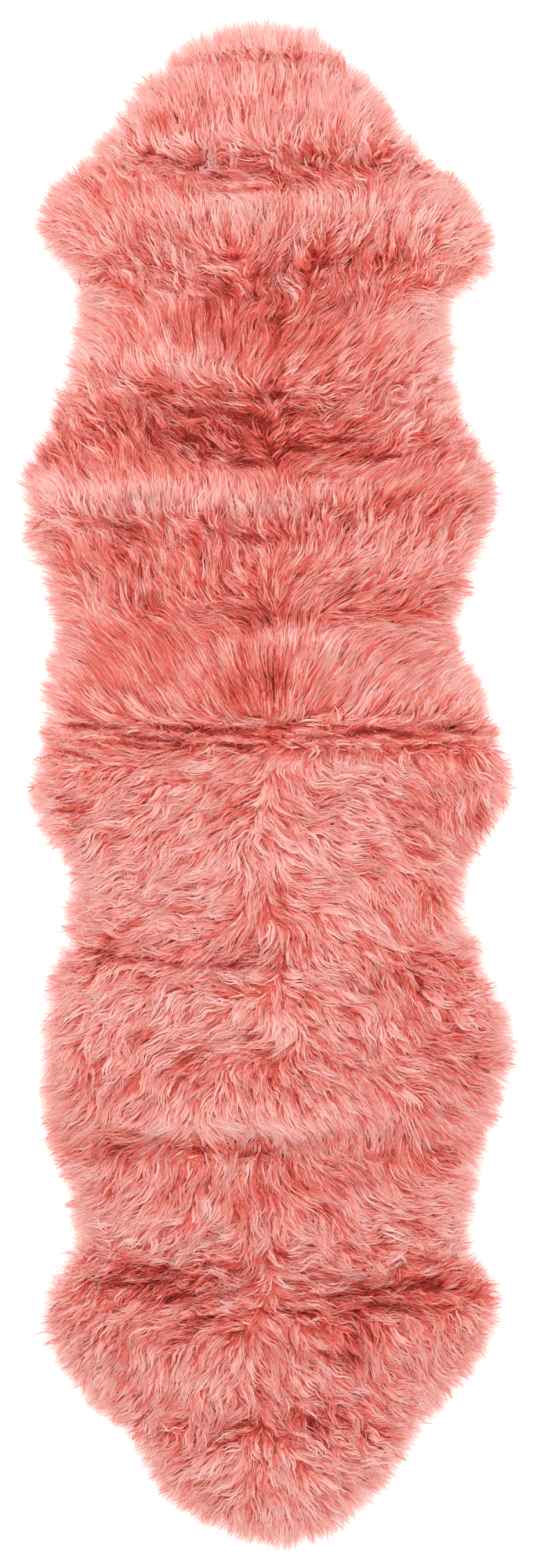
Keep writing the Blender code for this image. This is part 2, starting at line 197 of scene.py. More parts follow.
LOOK_LOWER = (
    (0.042, 0.7, 0.55, 0.40, 0.44, 0.59, 0.50),
    (0.023, 0.5, 0.70, 0.66, 0.70, 0.70, 0.57),
    (-0.009, 0.5, 0.62, 0.58, 0.58, 0.74, 0.58),
    (-0.046, 0.5, 0.66, 0.62, 0.60, 0.58, 0.40),
    (-0.079, 0.5, 0.60, 0.80, 0.77, 0.74, 0.45),
    (-0.120, 0.5, 0.73, 0.76, 0.63, 0.66, 0.52),
    (-0.152, 0.5, 0.67, 0.74, 0.56, 0.68, 0.51),
    (-0.180, 0.5, 0.50, 0.63, 0.51, 0.64, 0.51),
    (-0.198, 0.4, 0.30, 0.58, 0.61, 0.62, 0.48),
    (-0.231, 0.4, 0.62, 0.66, 0.54, 0.58, 0.44),
    (-0.268, 0.4, 0.72, 0.67, 0.54, 0.60, 0.68),
    (-0.305, 0.4, 0.65, 0.65, 0.64, 0.57, 0.50),
    (-0.342, 0.5, 0.59, 0.60, 0.52, 0.60, 0.54),
    (-0.378, 0.7, 0.54, 0.58, 0.54, 0.66, 0.52),
    (-0.406, 0.7, 0.55, 0.75, 0.80, 0.70, 0.56),
    (-0.426, 0.5, 0.43, 0.43, 0.43, 0.43, 0.54),
    (-0.452, 0.6, 0.63, 0.64, 0.48, 0.42, 0.53),
    (-0.489, 0.6, 0.65, 0.56, 0.46, 0.57, 0.63),
    (-0.531, 0.3, 0.72, 0.71, 0.62, 0.62, 0.57),
    (-0.554, 0.3, 0.53, 0.50, 0.50, 0.50, 0.43),
    (-0.586, 0.3, 0.45, 0.14, 0.58, 0.48, 0.20),
    (-0.614, 0.4, 0.54, 0.48, 0.52, 0.36, 0.46),
    (-0.646, 0.5, 0.57, 0.50, 0.48, 0.32, 0.60),
    (-0.683, 0.5, 0.58, 0.70, 0.60, 0.56, 0.63),
    (-0.720, 0.4, 0.60, 0.62, 0.64, 0.56, 0.64),
    (-0.757, 0.2, 0.74, 0.54, 0.30, 0.48, 0.70),
    (-0.794, 0.5, 0.60, 0.65, 0.66, 0.64, 0.60),
    (-0.849, 0.5, 0.62, 0.60, 0.62, 0.64, 0.65),
    (-0.886, 0.6, 0.58, 0.58, 0.58, 0.58, 0.58),
)

# Places that stand out from the charts: where the wool parts, or sinks into a crevice, or stands
# up in a crest. Columns: x, y, half length, half width, turn in degrees, change of tone, change of
# height. A darker tone in the crevices, partings and hollows is painted shade, and a paler tone on
# the crests is painted highlight.
PLACES = (
    # neck
    (-0.078, 0.8515, 0.040, 0.0028, 5, -0.46, -0.005),
    (-0.012, 0.8540, 0.050, 0.0028, 0, -0.46, -0.006),
    (0.062, 0.8515, 0.046, 0.0028, -4, -0.46, -0.005),
    (-0.060, 0.8595, 0.050, 0.0030, 4, 0.34, 0.004),
    (0.045, 0.8600, 0.050, 0.0030, -3, 0.34, 0.004),
    (-0.060, 0.878, 0.040, 0.010, 15, -0.15, 0.0),
    (0.035, 0.822, 0.028, 0.011, 5, -0.20, -0.002),
    (-0.070, 0.797, 0.030, 0.0035, -3, -0.25, -0.002),
    (-0.015, 0.797, 0.018, 0.0035, 0, -0.25, -0.002),
    (-0.105, 0.778, 0.055, 0.015, 5, -0.18, 0.0),
    (0.135, 0.785, 0.020, 0.016, -40, -0.15, 0.0),
    (-0.030, 0.775, 0.020, 0.012, 0, 0.18, 0.0),
    # curly band under the neck, dark with painted shade in its crevices
    (-0.140, 0.740, 0.016, 0.0035, 30, -0.45, -0.005),
    (-0.115, 0.733, 0.020, 0.0035, -15, -0.45, -0.005),
    (-0.085, 0.724, 0.018, 0.0040, 10, -0.45, -0.005),
    (-0.050, 0.712, 0.020, 0.0035, -5, -0.45, -0.005),
    (-0.010, 0.718, 0.022, 0.0035, 8, -0.45, -0.005),
    (0.030, 0.707, 0.028, 0.0035, 2, -0.45, -0.005),
    (0.055, 0.722, 0.020, 0.0035, -20, -0.40, -0.005),
    (-0.010, 0.737, 0.020, 0.0030, 0, -0.35, -0.004),
    (0.060, 0.712, 0.060, 0.014, 0, -0.22, 0.0),
    (-0.110, 0.745, 0.030, 0.008, 25, 0.20, 0.002),
    (-0.020, 0.697, 0.070, 0.0030, 2, -0.40, -0.003),
    # curls under the shoulders
    (-0.070, 0.642, 0.055, 0.011, 0, -0.22, 0.0),
    (0.150, 0.625, 0.045, 0.028, 0, -0.25, 0.0),
    (0.045, 0.625, 0.040, 0.022, 0, -0.18, 0.0),
    (0.062, 0.606, 0.022, 0.0035, 0, -0.50, -0.005),
    (-0.045, 0.617, 0.030, 0.0035, 5, -0.45, -0.005),
    (-0.045, 0.606, 0.025, 0.006, 0, 0.30, 0.003),
    (-0.130, 0.601, 0.030, 0.0035, -5, -0.35, -0.005),
    (-0.118, 0.583, 0.020, 0.0035, -15, -0.45, -0.005),
    (-0.050, 0.583, 0.010, 0.008, 0, -0.45, -0.006),
    (0.045, 0.587, 0.030, 0.0035, 5, -0.35, -0.005),
    (-0.015, 0.573, 0.022, 0.0040, -10, -0.35, -0.005),
    (-0.070, 0.566, 0.018, 0.007, 10, -0.35, -0.005),
    (0.075, 0.560, 0.020, 0.0040, 15, -0.35, -0.005),
    (0.015, 0.543, 0.026, 0.0050, -5, -0.45, -0.005),
    (0.030, 0.520, 0.040, 0.020, -15, -0.20, 0.0),
    # deep red belt across the flanks, with painted shade in its crevices, and the wool on both
    # sides of it
    (-0.100, 0.497, 0.075, 0.020, 0, 0.18, 0.0),
    (-0.125, 0.472, 0.040, 0.010, 5, -0.25, -0.002),
    (0.012, 0.456, 0.024, 0.0035, 0, -0.50, -0.005),
    (0.065, 0.450, 0.040, 0.0032, -4, -0.50, -0.005),
    (-0.035, 0.452, 0.030, 0.0030, 0, -0.45, -0.005),
    (-0.088, 0.437, 0.026, 0.0045, 6, -0.45, -0.005),
    (0.028, 0.438, 0.024, 0.0035, -12, -0.40, -0.005),
    (-0.020, 0.430, 0.022, 0.0035, 4, -0.35, -0.004),
    (-0.100, 0.404, 0.022, 0.0060, 0, -0.45, -0.005),
    (0.082, 0.403, 0.034, 0.0035, 4, -0.50, -0.005),
    (0.032, 0.392, 0.034, 0.0035, 0, -0.45, -0.005),
    (-0.070, 0.385, 0.036, 0.0032, 0, -0.40, -0.004),
    (-0.020, 0.377, 0.034, 0.0045, 2, -0.45, -0.005),
    (0.060, 0.363, 0.034, 0.0030, -5, -0.40, -0.004),
    (0.145, 0.385, 0.030, 0.0032, 12, -0.40, -0.004),
    (0.190, 0.398, 0.022, 0.0032, 10, -0.35, -0.004),
    (-0.060, 0.415, 0.110, 0.040, 0, -0.12, 0.0),
    (-0.265, 0.382, 0.018, 0.010, 20, -0.50, -0.004),
    (0.180, 0.435, 0.040, 0.022, 30, 0.15, 0.0),
    (-0.110, 0.342, 0.105, 0.018, 2, 0.10, 0.002),
    (-0.045, 0.360, 0.030, 0.010, 0, 0.15, 0.0),
    (0.140, 0.335, 0.024, 0.012, 0, -0.30, -0.003),
    (0.190, 0.325, 0.022, 0.010, 40, -0.20, -0.003),
    (0.230, 0.308, 0.016, 0.010, 0, 0.30, 0.003),
    (-0.170, 0.303, 0.030, 0.0045, -5, -0.40, -0.005),
    (-0.160, 0.288, 0.022, 0.0040, 5, -0.35, -0.005),
    (-0.025, 0.292, 0.026, 0.0040, -10, -0.35, -0.004),
    (0.110, 0.307, 0.030, 0.0030, 5, -0.25, -0.003),
    (-0.150, 0.208, 0.026, 0.014, 5, -0.32, -0.003),
    (-0.020, 0.206, 0.030, 0.0040, 3, -0.35, -0.004),
    (0.010, 0.192, 0.050, 0.010, 0, -0.22, -0.002),
    (0.160, 0.200, 0.050, 0.010, 5, -0.20, -0.002),
    # crest over the rump, paler as painted highlight, and its core darker as painted shade
    (-0.050, 0.163, 0.026, 0.008, 28, 0.40, 0.003),
    (0.015, 0.176, 0.032, 0.008, 8, 0.42, 0.004),
    (0.072, 0.168, 0.034, 0.009, -22, 0.42, 0.003),
    (0.012, 0.128, 0.014, 0.024, -8, -0.40, -0.003),
    (-0.050, 0.108, 0.050, 0.010, -3, -0.18, 0.0),
    (0.215, 0.130, 0.030, 0.016, 40, 0.15, 0.0),
    # crevices along the seam, darker as painted shade
    (-0.080, 0.060, 0.090, 0.0080, -2, -0.10, -0.003),
    (0.140, 0.062, 0.075, 0.0065, 0, -0.14, -0.003),
    (-0.225, 0.036, 0.040, 0.0060, -8, -0.20, -0.002),
    (0.130, 0.042, 0.050, 0.0045, 3, -0.18, -0.002),
    (-0.215, 0.069, 0.033, 0.0032, -3, -0.65, -0.005),
    (-0.165, 0.059, 0.027, 0.0028, 0, -0.55, -0.005),
    (-0.122, 0.067, 0.033, 0.0036, -3, -0.70, -0.006),
    (-0.082, 0.065, 0.030, 0.0042, -5, -0.75, -0.007),
    (-0.042, 0.064, 0.025, 0.0036, 0, -0.70, -0.006),
    (-0.125, 0.052, 0.033, 0.0038, -3, -0.75, -0.007),
    (-0.055, 0.047, 0.025, 0.0030, 0, -0.65, -0.005),
    (-0.025, 0.041, 0.027, 0.0032, -10, -0.65, -0.005),
    (0.000, 0.055, 0.030, 0.0032, -5, -0.65, -0.006),
    (0.012, 0.067, 0.035, 0.0036, 3, -0.70, -0.006),
    (0.040, 0.071, 0.014, 0.0030, 0, -0.40, -0.005),
    (0.088, 0.058, 0.033, 0.0028, 5, -0.60, -0.005),
    (0.125, 0.064, 0.035, 0.0044, 0, -0.75, -0.007),
    (0.165, 0.057, 0.020, 0.0036, 0, -0.70, -0.006),
    (0.205, 0.067, 0.022, 0.0036, 0, -0.75, -0.006),
    (0.232, 0.062, 0.022, 0.0028, -3, -0.60, -0.005),
    (0.170, 0.043, 0.027, 0.0028, 5, -0.55, -0.005),
    (0.210, 0.048, 0.020, 0.0030, 5, -0.60, -0.005),
    (-0.232, 0.037, 0.016, 0.0036, -12, -0.55, -0.005),
    (-0.205, 0.029, 0.032, 0.0026, 0, -0.40, -0.005),
    (-0.195, 0.050, 0.030, 0.0026, 0, -0.50, -0.005),
    (-0.175, 0.069, 0.018, 0.0028, 6, -0.55, -0.005),
    (-0.150, 0.045, 0.024, 0.0026, -6, -0.50, -0.005),
    (-0.095, 0.044, 0.020, 0.0026, 4, -0.50, -0.005),
    (-0.085, 0.056, 0.018, 0.0024, 8, -0.45, -0.005),
    (-0.010, 0.047, 0.020, 0.0026, 8, -0.50, -0.005),
    (0.048, 0.056, 0.022, 0.0028, -6, -0.55, -0.005),
    (0.060, 0.044, 0.020, 0.0024, 4, -0.45, -0.005),
    (0.078, 0.068, 0.020, 0.0026, 6, -0.50, -0.005),
    (0.135, 0.052, 0.022, 0.0026, -4, -0.50, -0.005),
    (0.190, 0.056, 0.020, 0.0026, 6, -0.50, -0.005),
    # back of the lower pelt, from the seam down
    (-0.085, 0.020, 0.016, 0.007, 0, 0.25, 0.002),
    (0.055, 0.028, 0.050, 0.007, 0, 0.25, 0.003),
    (-0.205, -0.012, 0.016, 0.005, 30, -0.40, -0.005),
    (-0.180, -0.055, 0.018, 0.0040, -10, -0.40, -0.005),
    (-0.235, -0.030, 0.020, 0.016, 70, -0.25, -0.003),
    (0.248, -0.040, 0.010, 0.026, 5, -0.45, -0.004),
    (0.232, 0.015, 0.012, 0.030, 5, -0.25, -0.003),
    (-0.030, -0.078, 0.006, 0.020, 20, -0.30, -0.005),
    (0.012, -0.103, 0.022, 0.007, -25, 0.25, 0.003),
    (0.012, -0.128, 0.022, 0.014, 0, -0.28, -0.002),
    (0.200, -0.140, 0.012, 0.020, 0, -0.25, -0.003),
    (-0.205, -0.196, 0.022, 0.0040, -15, -0.50, -0.005),
    (-0.160, -0.206, 0.030, 0.0048, 2, -0.55, -0.006),
    (-0.115, -0.209, 0.020, 0.0030, 0, -0.40, -0.005),
    (-0.052, -0.211, 0.026, 0.0042, 5, -0.50, -0.005),
    (0.000, -0.214, 0.024, 0.0030, -5, -0.35, -0.004),
    (0.060, -0.212, 0.018, 0.0030, 0, -0.40, -0.005),
    (0.190, -0.270, 0.045, 0.060, 0, -0.15, 0.0),
    (-0.190, -0.250, 0.050, 0.026, 0, 0.12, 0.0),
    (-0.100, -0.270, 0.050, 0.020, 0, 0.15, 0.0),
    (-0.160, -0.297, 0.012, 0.006, 20, -0.45, -0.005),
    (0.015, -0.287, 0.030, 0.014, -25, 0.22, 0.003),
    (-0.095, -0.322, 0.030, 0.0050, 25, -0.40, -0.005),
    (-0.010, -0.325, 0.050, 0.010, 0, -0.22, -0.002),
    (0.142, -0.336, 0.010, 0.007, 20, -0.40, -0.005),
    # pale dome, partly painted highlight, and the fold under it in painted shade
    (-0.070, -0.382, 0.075, 0.020, -3, 0.22, 0.003),
    (-0.030, -0.403, 0.090, 0.0045, 0, 0.30, 0.003),
    (-0.165, -0.407, 0.028, 0.0040, -15, -0.50, -0.005),
    (-0.185, -0.425, 0.034, 0.010, -10, -0.28, -0.003),
    (-0.090, -0.427, 0.036, 0.0036, -4, -0.50, -0.006),
    (-0.010, -0.433, 0.044, 0.0036, 0, -0.50, -0.005),
    (0.085, -0.444, 0.028, 0.0040, -10, -0.50, -0.005),
    (0.130, -0.434, 0.026, 0.0032, 8, -0.40, -0.005),
    (0.200, -0.430, 0.026, 0.0036, 10, -0.40, -0.005),
    (0.030, -0.466, 0.050, 0.016, 0, -0.20, -0.002),
    (0.060, -0.498, 0.040, 0.012, 10, -0.22, -0.002),
    # crevices across the shoulders and neck of the lower pelt, darker as painted shade
    (-0.160, -0.586, 0.044, 0.0038, 0, -0.55, -0.006),
    (-0.130, -0.567, 0.024, 0.0038, -15, -0.50, -0.005),
    (-0.180, -0.572, 0.050, 0.014, 0, -0.20, 0.0),
    (-0.065, -0.563, 0.022, 0.0036, 0, -0.45, -0.005),
    (-0.115, -0.603, 0.026, 0.0040, 5, -0.45, -0.005),
    (-0.045, -0.596, 0.024, 0.0036, 14, -0.50, -0.005),
    (0.030, -0.577, 0.050, 0.0050, 5, 0.25, 0.003),
    (0.065, -0.600, 0.044, 0.0036, 0, -0.60, -0.006),
    (0.150, -0.590, 0.050, 0.0036, 5, -0.55, -0.005),
    (0.150, -0.612, 0.055, 0.0060, -2, -0.50, -0.005),
    (0.155, -0.600, 0.070, 0.020, 0, -0.20, 0.0),
    (-0.070, -0.626, 0.042, 0.0048, 5, -0.60, -0.006),
    (0.025, -0.617, 0.050, 0.0040, -3, -0.55, -0.005),
    (0.095, -0.622, 0.020, 0.0050, 0, -0.45, -0.005),
    (-0.100, -0.650, 0.018, 0.0030, 0, -0.40, -0.005),
    (0.100, -0.668, 0.014, 0.020, 10, -0.35, -0.004),
    (0.120, -0.697, 0.020, 0.008, 0, -0.25, -0.002),
    (-0.060, -0.690, 0.050, 0.007, 0, -0.22, 0.0),
    (0.050, -0.700, 0.045, 0.010, 0, 0.15, 0.003),
    (0.050, -0.719, 0.045, 0.0030, 0, -0.35, -0.005),
    (0.030, -0.742, 0.020, 0.010, 0, -0.30, -0.004),
    (0.060, -0.750, 0.014, 0.012, 30, -0.50, -0.005),
    (0.060, -0.775, 0.030, 0.012, 0, -0.20, -0.002),
    (-0.040, -0.765, 0.020, 0.006, 20, -0.30, -0.004),
    (-0.050, -0.832, 0.024, 0.006, 10, -0.30, -0.004),
    (-0.015, -0.850, 0.012, 0.012, 0, -0.30, -0.003),
    (0.160, -0.660, 0.040, 0.022, 30, 0.15, 0.0),
    (-0.220, -0.650, 0.030, 0.030, 0, 0.12, 0.0),
    # broad, faint changes of tone: partly the dye's, partly painted light and shade
    (-0.255, 0.425, 0.025, 0.015, 0, -0.15, 0.0),
    (-0.255, 0.277, 0.025, 0.015, 0, -0.12, 0.0),
    (-0.255, 0.040, 0.025, 0.022, 0, -0.14, 0.0),
    (-0.255, -0.092, 0.025, 0.015, 0, -0.12, 0.0),
    (-0.245, -0.185, 0.025, 0.025, 0, -0.18, 0.0),
    (-0.255, -0.240, 0.025, 0.018, 0, -0.12, 0.0),
    (-0.250, -0.450, 0.025, 0.018, 0, -0.12, 0.0),
    (-0.245, -0.683, 0.030, 0.018, 0, -0.18, 0.0),
    (0.255, 0.425, 0.025, 0.015, 0, -0.12, 0.0),
    (0.255, 0.055, 0.025, 0.012, 0, -0.12, 0.0),
    (0.255, -0.425, 0.025, 0.012, 0, -0.12, 0.0),
    (0.255, -0.590, 0.030, 0.028, 0, -0.18, 0.0),
    (0.235, 0.646, 0.025, 0.015, 0, 0.24, 0.0),
    (0.033, 0.646, 0.030, 0.010, 0, 0.16, 0.0),
    (-0.245, 0.130, 0.026, 0.018, 0, 0.30, 0.0),
    (-0.230, 0.683, 0.030, 0.014, 0, 0.14, 0.0),
    (0.165, -0.609, 0.030, 0.010, 0, 0.14, 0.0),
    (0.165, -0.420, 0.030, 0.012, 0, 0.10, 0.0),
    (0.060, 0.875, 0.050, 0.010, 0, 0.22, 0.0),
    (-0.250, 0.018, 0.025, 0.012, 0, -0.16, 0.0),
    (0.255, 0.035, 0.025, 0.012, 0, -0.12, 0.0),
    (0.165, 0.683, 0.030, 0.010, 0, 0.10, 0.0),
    (-0.032, -0.018, 0.030, 0.010, 0, -0.10, 0.0),
    (0.165, -0.535, 0.030, 0.010, 0, 0.10, 0.0),
    (-0.098, 0.794, 0.040, 0.014, 0, 0.10, 0.0),
    (0.165, -0.609, 0.040, 0.016, 0, 0.16, 0.0),
    (-0.164, -0.203, 0.040, 0.010, 0, -0.12, 0.0),
    (0.033, 0.425, 0.030, 0.012, 0, -0.10, 0.0),
    (0.033, 0.572, 0.030, 0.012, 0, -0.12, 0.0),
    (-0.032, 0.351, 0.050, 0.010, 0, -0.10, 0.0),
    (-0.164, -0.277, 0.030, 0.012, 0, 0.12, 0.0),
    (0.240, -0.277, 0.030, 0.012, 0, -0.12, 0.0),
    (0.165, 0.314, 0.030, 0.012, 0, -0.10, 0.0),
    (-0.150, 0.305, 0.040, 0.012, 0, 0.10, 0.0),
)

# Where the wool at the rim is longer than elsewhere, or shorter. Columns: x, y, radius,
# share more.
LONG_WOOL = (
    (-0.245, 0.250, 0.080, 0.30),
    (-0.240, 0.110, 0.060, 0.22),
    (-0.195, 0.535, 0.050, 0.28),
    (-0.225, 0.704, 0.025, 0.25),
    (0.190, 0.735, 0.050, -0.25),
    (0.100, 0.830, 0.040, -0.20),
    (0.250, 0.636, 0.035, -0.15),
    (0.205, 0.565, 0.020, -0.20),
    (0.210, 0.165, 0.040, -0.15),
    (0.238, -0.230, 0.045, -0.28),
    (0.228, -0.560, 0.040, -0.18),
    (-0.150, -0.750, 0.035, -0.42),
    (0.040, -0.870, 0.060, 0.40),
    (0.000, 0.880, 0.060, 0.22),
    (-0.070, 0.865, 0.030, 0.25),
    (0.240, 0.600, 0.030, 0.20),
    (0.235, 0.280, 0.040, 0.25),
    (0.215, -0.157, 0.040, 0.35),
    (0.268, -0.310, 0.050, 0.20),
    (0.271, 0.014, 0.030, 0.25),
    (0.251, -0.605, 0.030, 0.35),
    (-0.035, -0.865, 0.030, -0.20),
    (-0.100, -0.820, 0.030, 0.15),
    (-0.205, -0.150, 0.040, 0.28),
    (-0.245, -0.330, 0.090, 0.12),
    (0.260, -0.350, 0.060, 0.14),
)

# How a place works on the wool: its tone and height fade outwards, and the wool lies along
# the narrow crevices and crests.
PLACE_ENDS = 1.2  # how soon a place fades towards its ends
CREVICE_SHADE_TONE = -0.35  # a place darker than this, the painted shade of a crevice, has pale lips of painted highlight
LIP_AT = 2.3  # their distance from its middle, in half widths
LIP_HIGHLIGHT_TONE = 0.14  # how much paler they are, as painted highlight
LINE_WIDE = 0.006  # the wool lies along a place with at most this half width
LINE_TONE = 0.30  # and at least this change of tone
LINE_REACH = 2.2  # how far round it the wool does so, in half widths
LINE_FOLLOW = 0.75  # how closely it does so
LINE_OFF_RIM = 0.004  # nearer to the rim than this it doesn't
LINE_FADE = 0.014  # and from there on it begins to, over this distance

# Unevenness that the charts don't give.
TONE_LUMPS = ((0.024, 0.09), (0.009, 0.07))  # size, change of tone
SPINE_SWAY = 0.022  # how far the parting along the spine strays from a straight line
SPINE_SWAY_SIZE = 0.045  # length of its bends
# size, then the turn of the comb in degrees: in silky wool, more in rough, most in the roughest
SWERVES = ((0.036, 8, 14, 0), (0.019, 5, 44, 60))

# The wool at the rim and at the seam.
RIM_WIDE = 0.030  # width of the band along the rim where the wool is thin and loose
RIM_TONE = 0.14  # how much paler it is at the rim itself
RIM_OUTWARD = 0.55  # how far it turns to point straight out, at the rim
FRINGE_OUTWARD = 0.40  # how much further the fringe past the hide turns
FRINGE_TURN = 0.012  # distance over which it does so
OUTWARD_LOSS = 0.4  # how far the comb gives way to this
SEAM_LEAN = 0.45  # how strongly the wool beside the seam leans over it
SEAM_LEAN_RUN = 0.009  # distance from the seam over which it does so
SEAM_LEAN_PAST = 0.002  # distance past the seam to which it does so

# Where the locks grow.
LOCK_PITCH = 0.0118  # spacing of the locks' roots over the hide
ROOT_JITTER = 0.4  # how far a root strays, in pitches
ROOT_OFF_RIM = 0.001  # no root is nearer to the rim
SEAM_PITCH = 0.0060  # spacing of the roots of more locks along the seam
SEAM_ROOTS = (0.0008, 0.0060)  # their least and most distance from it
WISP_PITCH = 0.00025  # length of rim for each try at a wisp's root, which may fall outside
WISP_SCATTER = 0.006  # how far they stray from the rim
WISP_OFF_RIM = (0.0005, 0.016)  # their least and most distance from it, inside
COVER = 2.4  # strands' points in a cell that count as well covered
COVER_BLURS = 4  # rounds of smoothing of their count
COVER_SHARE = 0.036  # chance of a new root, for each point that a cell lacks
COVER_BACK = 0.016  # how far upstream of the thin cell it stands
COVER_ROUNDS = 3

# The shape of a lock. Where three numbers stand together, they hold for silky wool, more for
# rough wool, and most for the roughest alone.
LOCK_STEPS = 14  # points on a lock's middle line, past its root
LOCK_LENGTH = 0.056
SEAM_LENGTH = 0.036  # length of the locks that close over the seam
WISP_LENGTH = 0.064
LENGTH_SPREAD = (0.8, 1.2)  # the shortest and the longest, over the usual length
LENGTH_ROUGH = 0.62  # share of its length that the roughest lock has
LENGTH_SILK = 0.46  # share that the silkiest has more
RIM_SHORTER = 0.24  # share by which the locks at the rim are shorter than elsewhere
RIM_SHORTER_WIDE = 0.035  # distance from the rim over which they are
LOCK_DEPTH = 0.0036  # how far below the wool's surface the lowest locks lie
LOCK_DEPTH_SHARE = (0.6, 0.4, 0)  # share of this depth that is used
LOCK_RISE = 0.0022  # how unevenly rough locks lie
LOWER_LOCK_SHADE = 42.0  # painted shade: how much darker a lock is that lies lower, per metre
LOCK_TONE = (0.07, 0.12, 0)  # how much the locks differ in tone
LOCK_FORTH = 0.0040  # how far a lock stands ahead of its root or behind it
LOCK_SPREAD = 3  # degrees by which locks differ from the comb
WISP_SPREAD = 10  # and the wisps
SEAM_SPREAD = 27  # and the locks over the seam
SEAM_LEVEL = (-0.001, 0.002)  # height of the latter from the wool's surface
ROUGH_SPREAD = 10  # degrees more in the roughest wool
ROUGH_SPREAD_POWER = 1.5  # and how late it sets in: 1 is evenly
WAVE = (7, 28, 0)  # degrees by which a lock winds from side to side
WAVE_SPREAD = (0.5, 1.3)  # the least and the most, over those degrees
WAVE_AT_ROOT = 0.4  # share of the wave that is there at the root
WAVELENGTH = (0.013, 0.022)  # in the roughest wool
WAVELENGTH_SILK = 1.1  # share by which silky wool's is longer
BEND = (6, 24, 20)  # degrees by which a lock's tip bends aside

# The strands of a lock. "spacing" sets them side by side; "scatter" and "forth" are how far
# they stray across their lock and along it; "lift" is their height over the lock's level and
# "lowest" the lowest level at which they follow it; "reach" is the share of the lock's length
# that they have; "gather" is how far they close up at the tips; and "fringe" is how far past
# the hide they end. "tone" is how much paler they are than the wool, and "vary" how much
# they differ.
BODY = dict(
    count=5, steps=7, width=0.0029, spacing=0.0021, scatter=0.0003, forth=0.0015,
    lift=(-0.0003, 0.0003), lowest=-1.0, reach=(0.60, 1.0), fringe=(0.018, 0.030),
    twist=10, gather=0.15, tone=-0.04, vary=0.15,
)
# The tresses lie on top of each lock, and their paler tone is painted highlight.
HIGHLIGHT_TRESSES = dict(
    count=4, steps=5, width=0.0008, spacing=0.0, scatter=0.0036, forth=0.0045,
    lift=(0.0003, 0.0014), lowest=-0.0012, reach=(0.70, 1.0), fringe=(0.020, 0.031),
    twist=25, gather=0.30, tone=0.20, vary=0.22,
)
WISPS = dict(
    count=2, steps=4, width=0.0006, spacing=0.0, scatter=0.0036, forth=0.0045,
    lift=(-0.001, 0.002), lowest=-1.0, reach=(0.50, 1.0), fringe=(0.024, 0.036),
    twist=30, gather=0.0, tone=0.30, vary=0.10,
)
FRINGE_LOOKS = 13  # places along a strand where its distance past the hide is read
FRINGE_LEAST = 0.25  # no strand is cut to less than this share of its length
ROUGH_GATHER = 0.75  # how far rough locks close up at the tips
GATHER_POWER = 1.3  # and how late: 1 is evenly along the strand
LEAN = (2, 3, 0)  # degrees by which a strand leans out of its lock
LEAN_AT_RIM = 6  # degrees more at the rim
OWN_WAVE = (0.0004, 0.0009, 0)  # how far a strand waves within its lock
OWN_WAVE_SPREAD = (0.2, 1.0)  # the least and the most, over that
OWN_WAVES = 2.2  # waves along a strand
ROOT_RISE = (0.55, 0.45)  # a strand's height over the surface's, at its root and more later
RISE_BY = 0.35  # share of its length at which it has come up to the surface
TIP_RISE = (0.001, 0.004, 0)  # height by which a tip stands up
FULL_HEIGHT = 0.034  # where the wool is lower than this, strands differ less in height
LEAST_CALM = 0.2  # but by this share at least
LOWEST_STRAND = 0.0022  # least height of a strand's middle line
WIDTH_SPREAD = (0.6, 1.3)  # the narrowest and the widest, over their kind's width
TAPER_AT = (0, 0.2, 0.6, 1)  # places along a strand
TAPER = (0.7, 1.0, 0.78, 0.0)  # and its width there
RIM_NARROW = (0.6, 0.4)  # width of strands at the rim, and how much more further in
VARY = (0.9, 0.6, 0)  # share of a kind's "vary" by which its strands differ in tone
TONE_REACH = 0.006  # how far ahead or behind a strand has the tone of the wool
TONE_BY_TONE = (0.3, 1.2)  # share of a kind's own tone in deep wool, and more in pale wool
TONE_GAIN = 1.25  # contrast of the tones round their middle
TONE_FLOOR = 0.15  # what a tone of 0 becomes, so that only deeper ones reach 0: those are painted shade in crevices

# The underwool, the hide and its seam.
UNDERWOOL_BELOW = 0.0046  # depth of the underwool's top below the wool's surface
UNDERWOOL_FALL = 0.004  # how much deeper it is at the rim
UNDERWOOL_FALL_WIDE = 0.012  # distance from the rim over which it is
UNDERWOOL_LUMPS = 0.0014  # height of its lumps
UNDERWOOL_LUMP_SIZE = 0.010
UNDERWOOL_LEAST = 0.0042  # least height of its top
UNDERWOOL_BOTTOM = 0.0026
UNDERWOOL_SHADE = -0.12  # how much paler it is than the wool over it: below 0, so it is darker, painted shade under the locks
# Where a face's corners stand in the map: in its lane, in lanes, and along it.
UNDERWOOL_CORNERS = ((-0.45, 0.15), (0.45, 0.27), (0.1, 0.39), (-0.3, 0.51))
UNDERWOOL_RING = 0.005  # spacing of its points along the hide's edge
UNDERWOOL_PITCH = 0.0056  # and inside
UNDERWOOL_CLEAR = 0.003  # these keep this far from the edge
SEAM_LAP = 0.0012  # how far each underwool reaches past the seam, into the other
HIDE_THICKNESS = 0.0018
HIDE_WAVES = 0.0002  # how far the hide is off flat
HIDE_WAVE_RATES = (61, 47)  # radians per metre, across the rug and along it
HIDE_RING = 0.006  # the hide's points are spaced like the underwool's, but wider
HIDE_PITCH = 0.018
HIDE_CLEAR = 0.009
SCATTER_JITTER = 0.2  # how far the points inside stray, in pitches
STITCH_PITCH = 0.006
STITCHED_HALF = 0.240  # how far the stitches go on both sides of the middle
STITCH_SPAN = 0.0070  # length of a stitch across the seam
STITCH_SLANT = 0.0022  # and along it
STITCH_LOW = 0.0004  # height of the thread's middle at its ends
STITCH_ARCH = 0.0006  # and how much higher half way
STITCH_RINGS = 7  # rings of points along a stitch
THREAD_RADIUS = 0.00045
THREAD_FLAT = 0.8  # height of the thread over its width
THREAD_SIDES = 6  # points of a ring
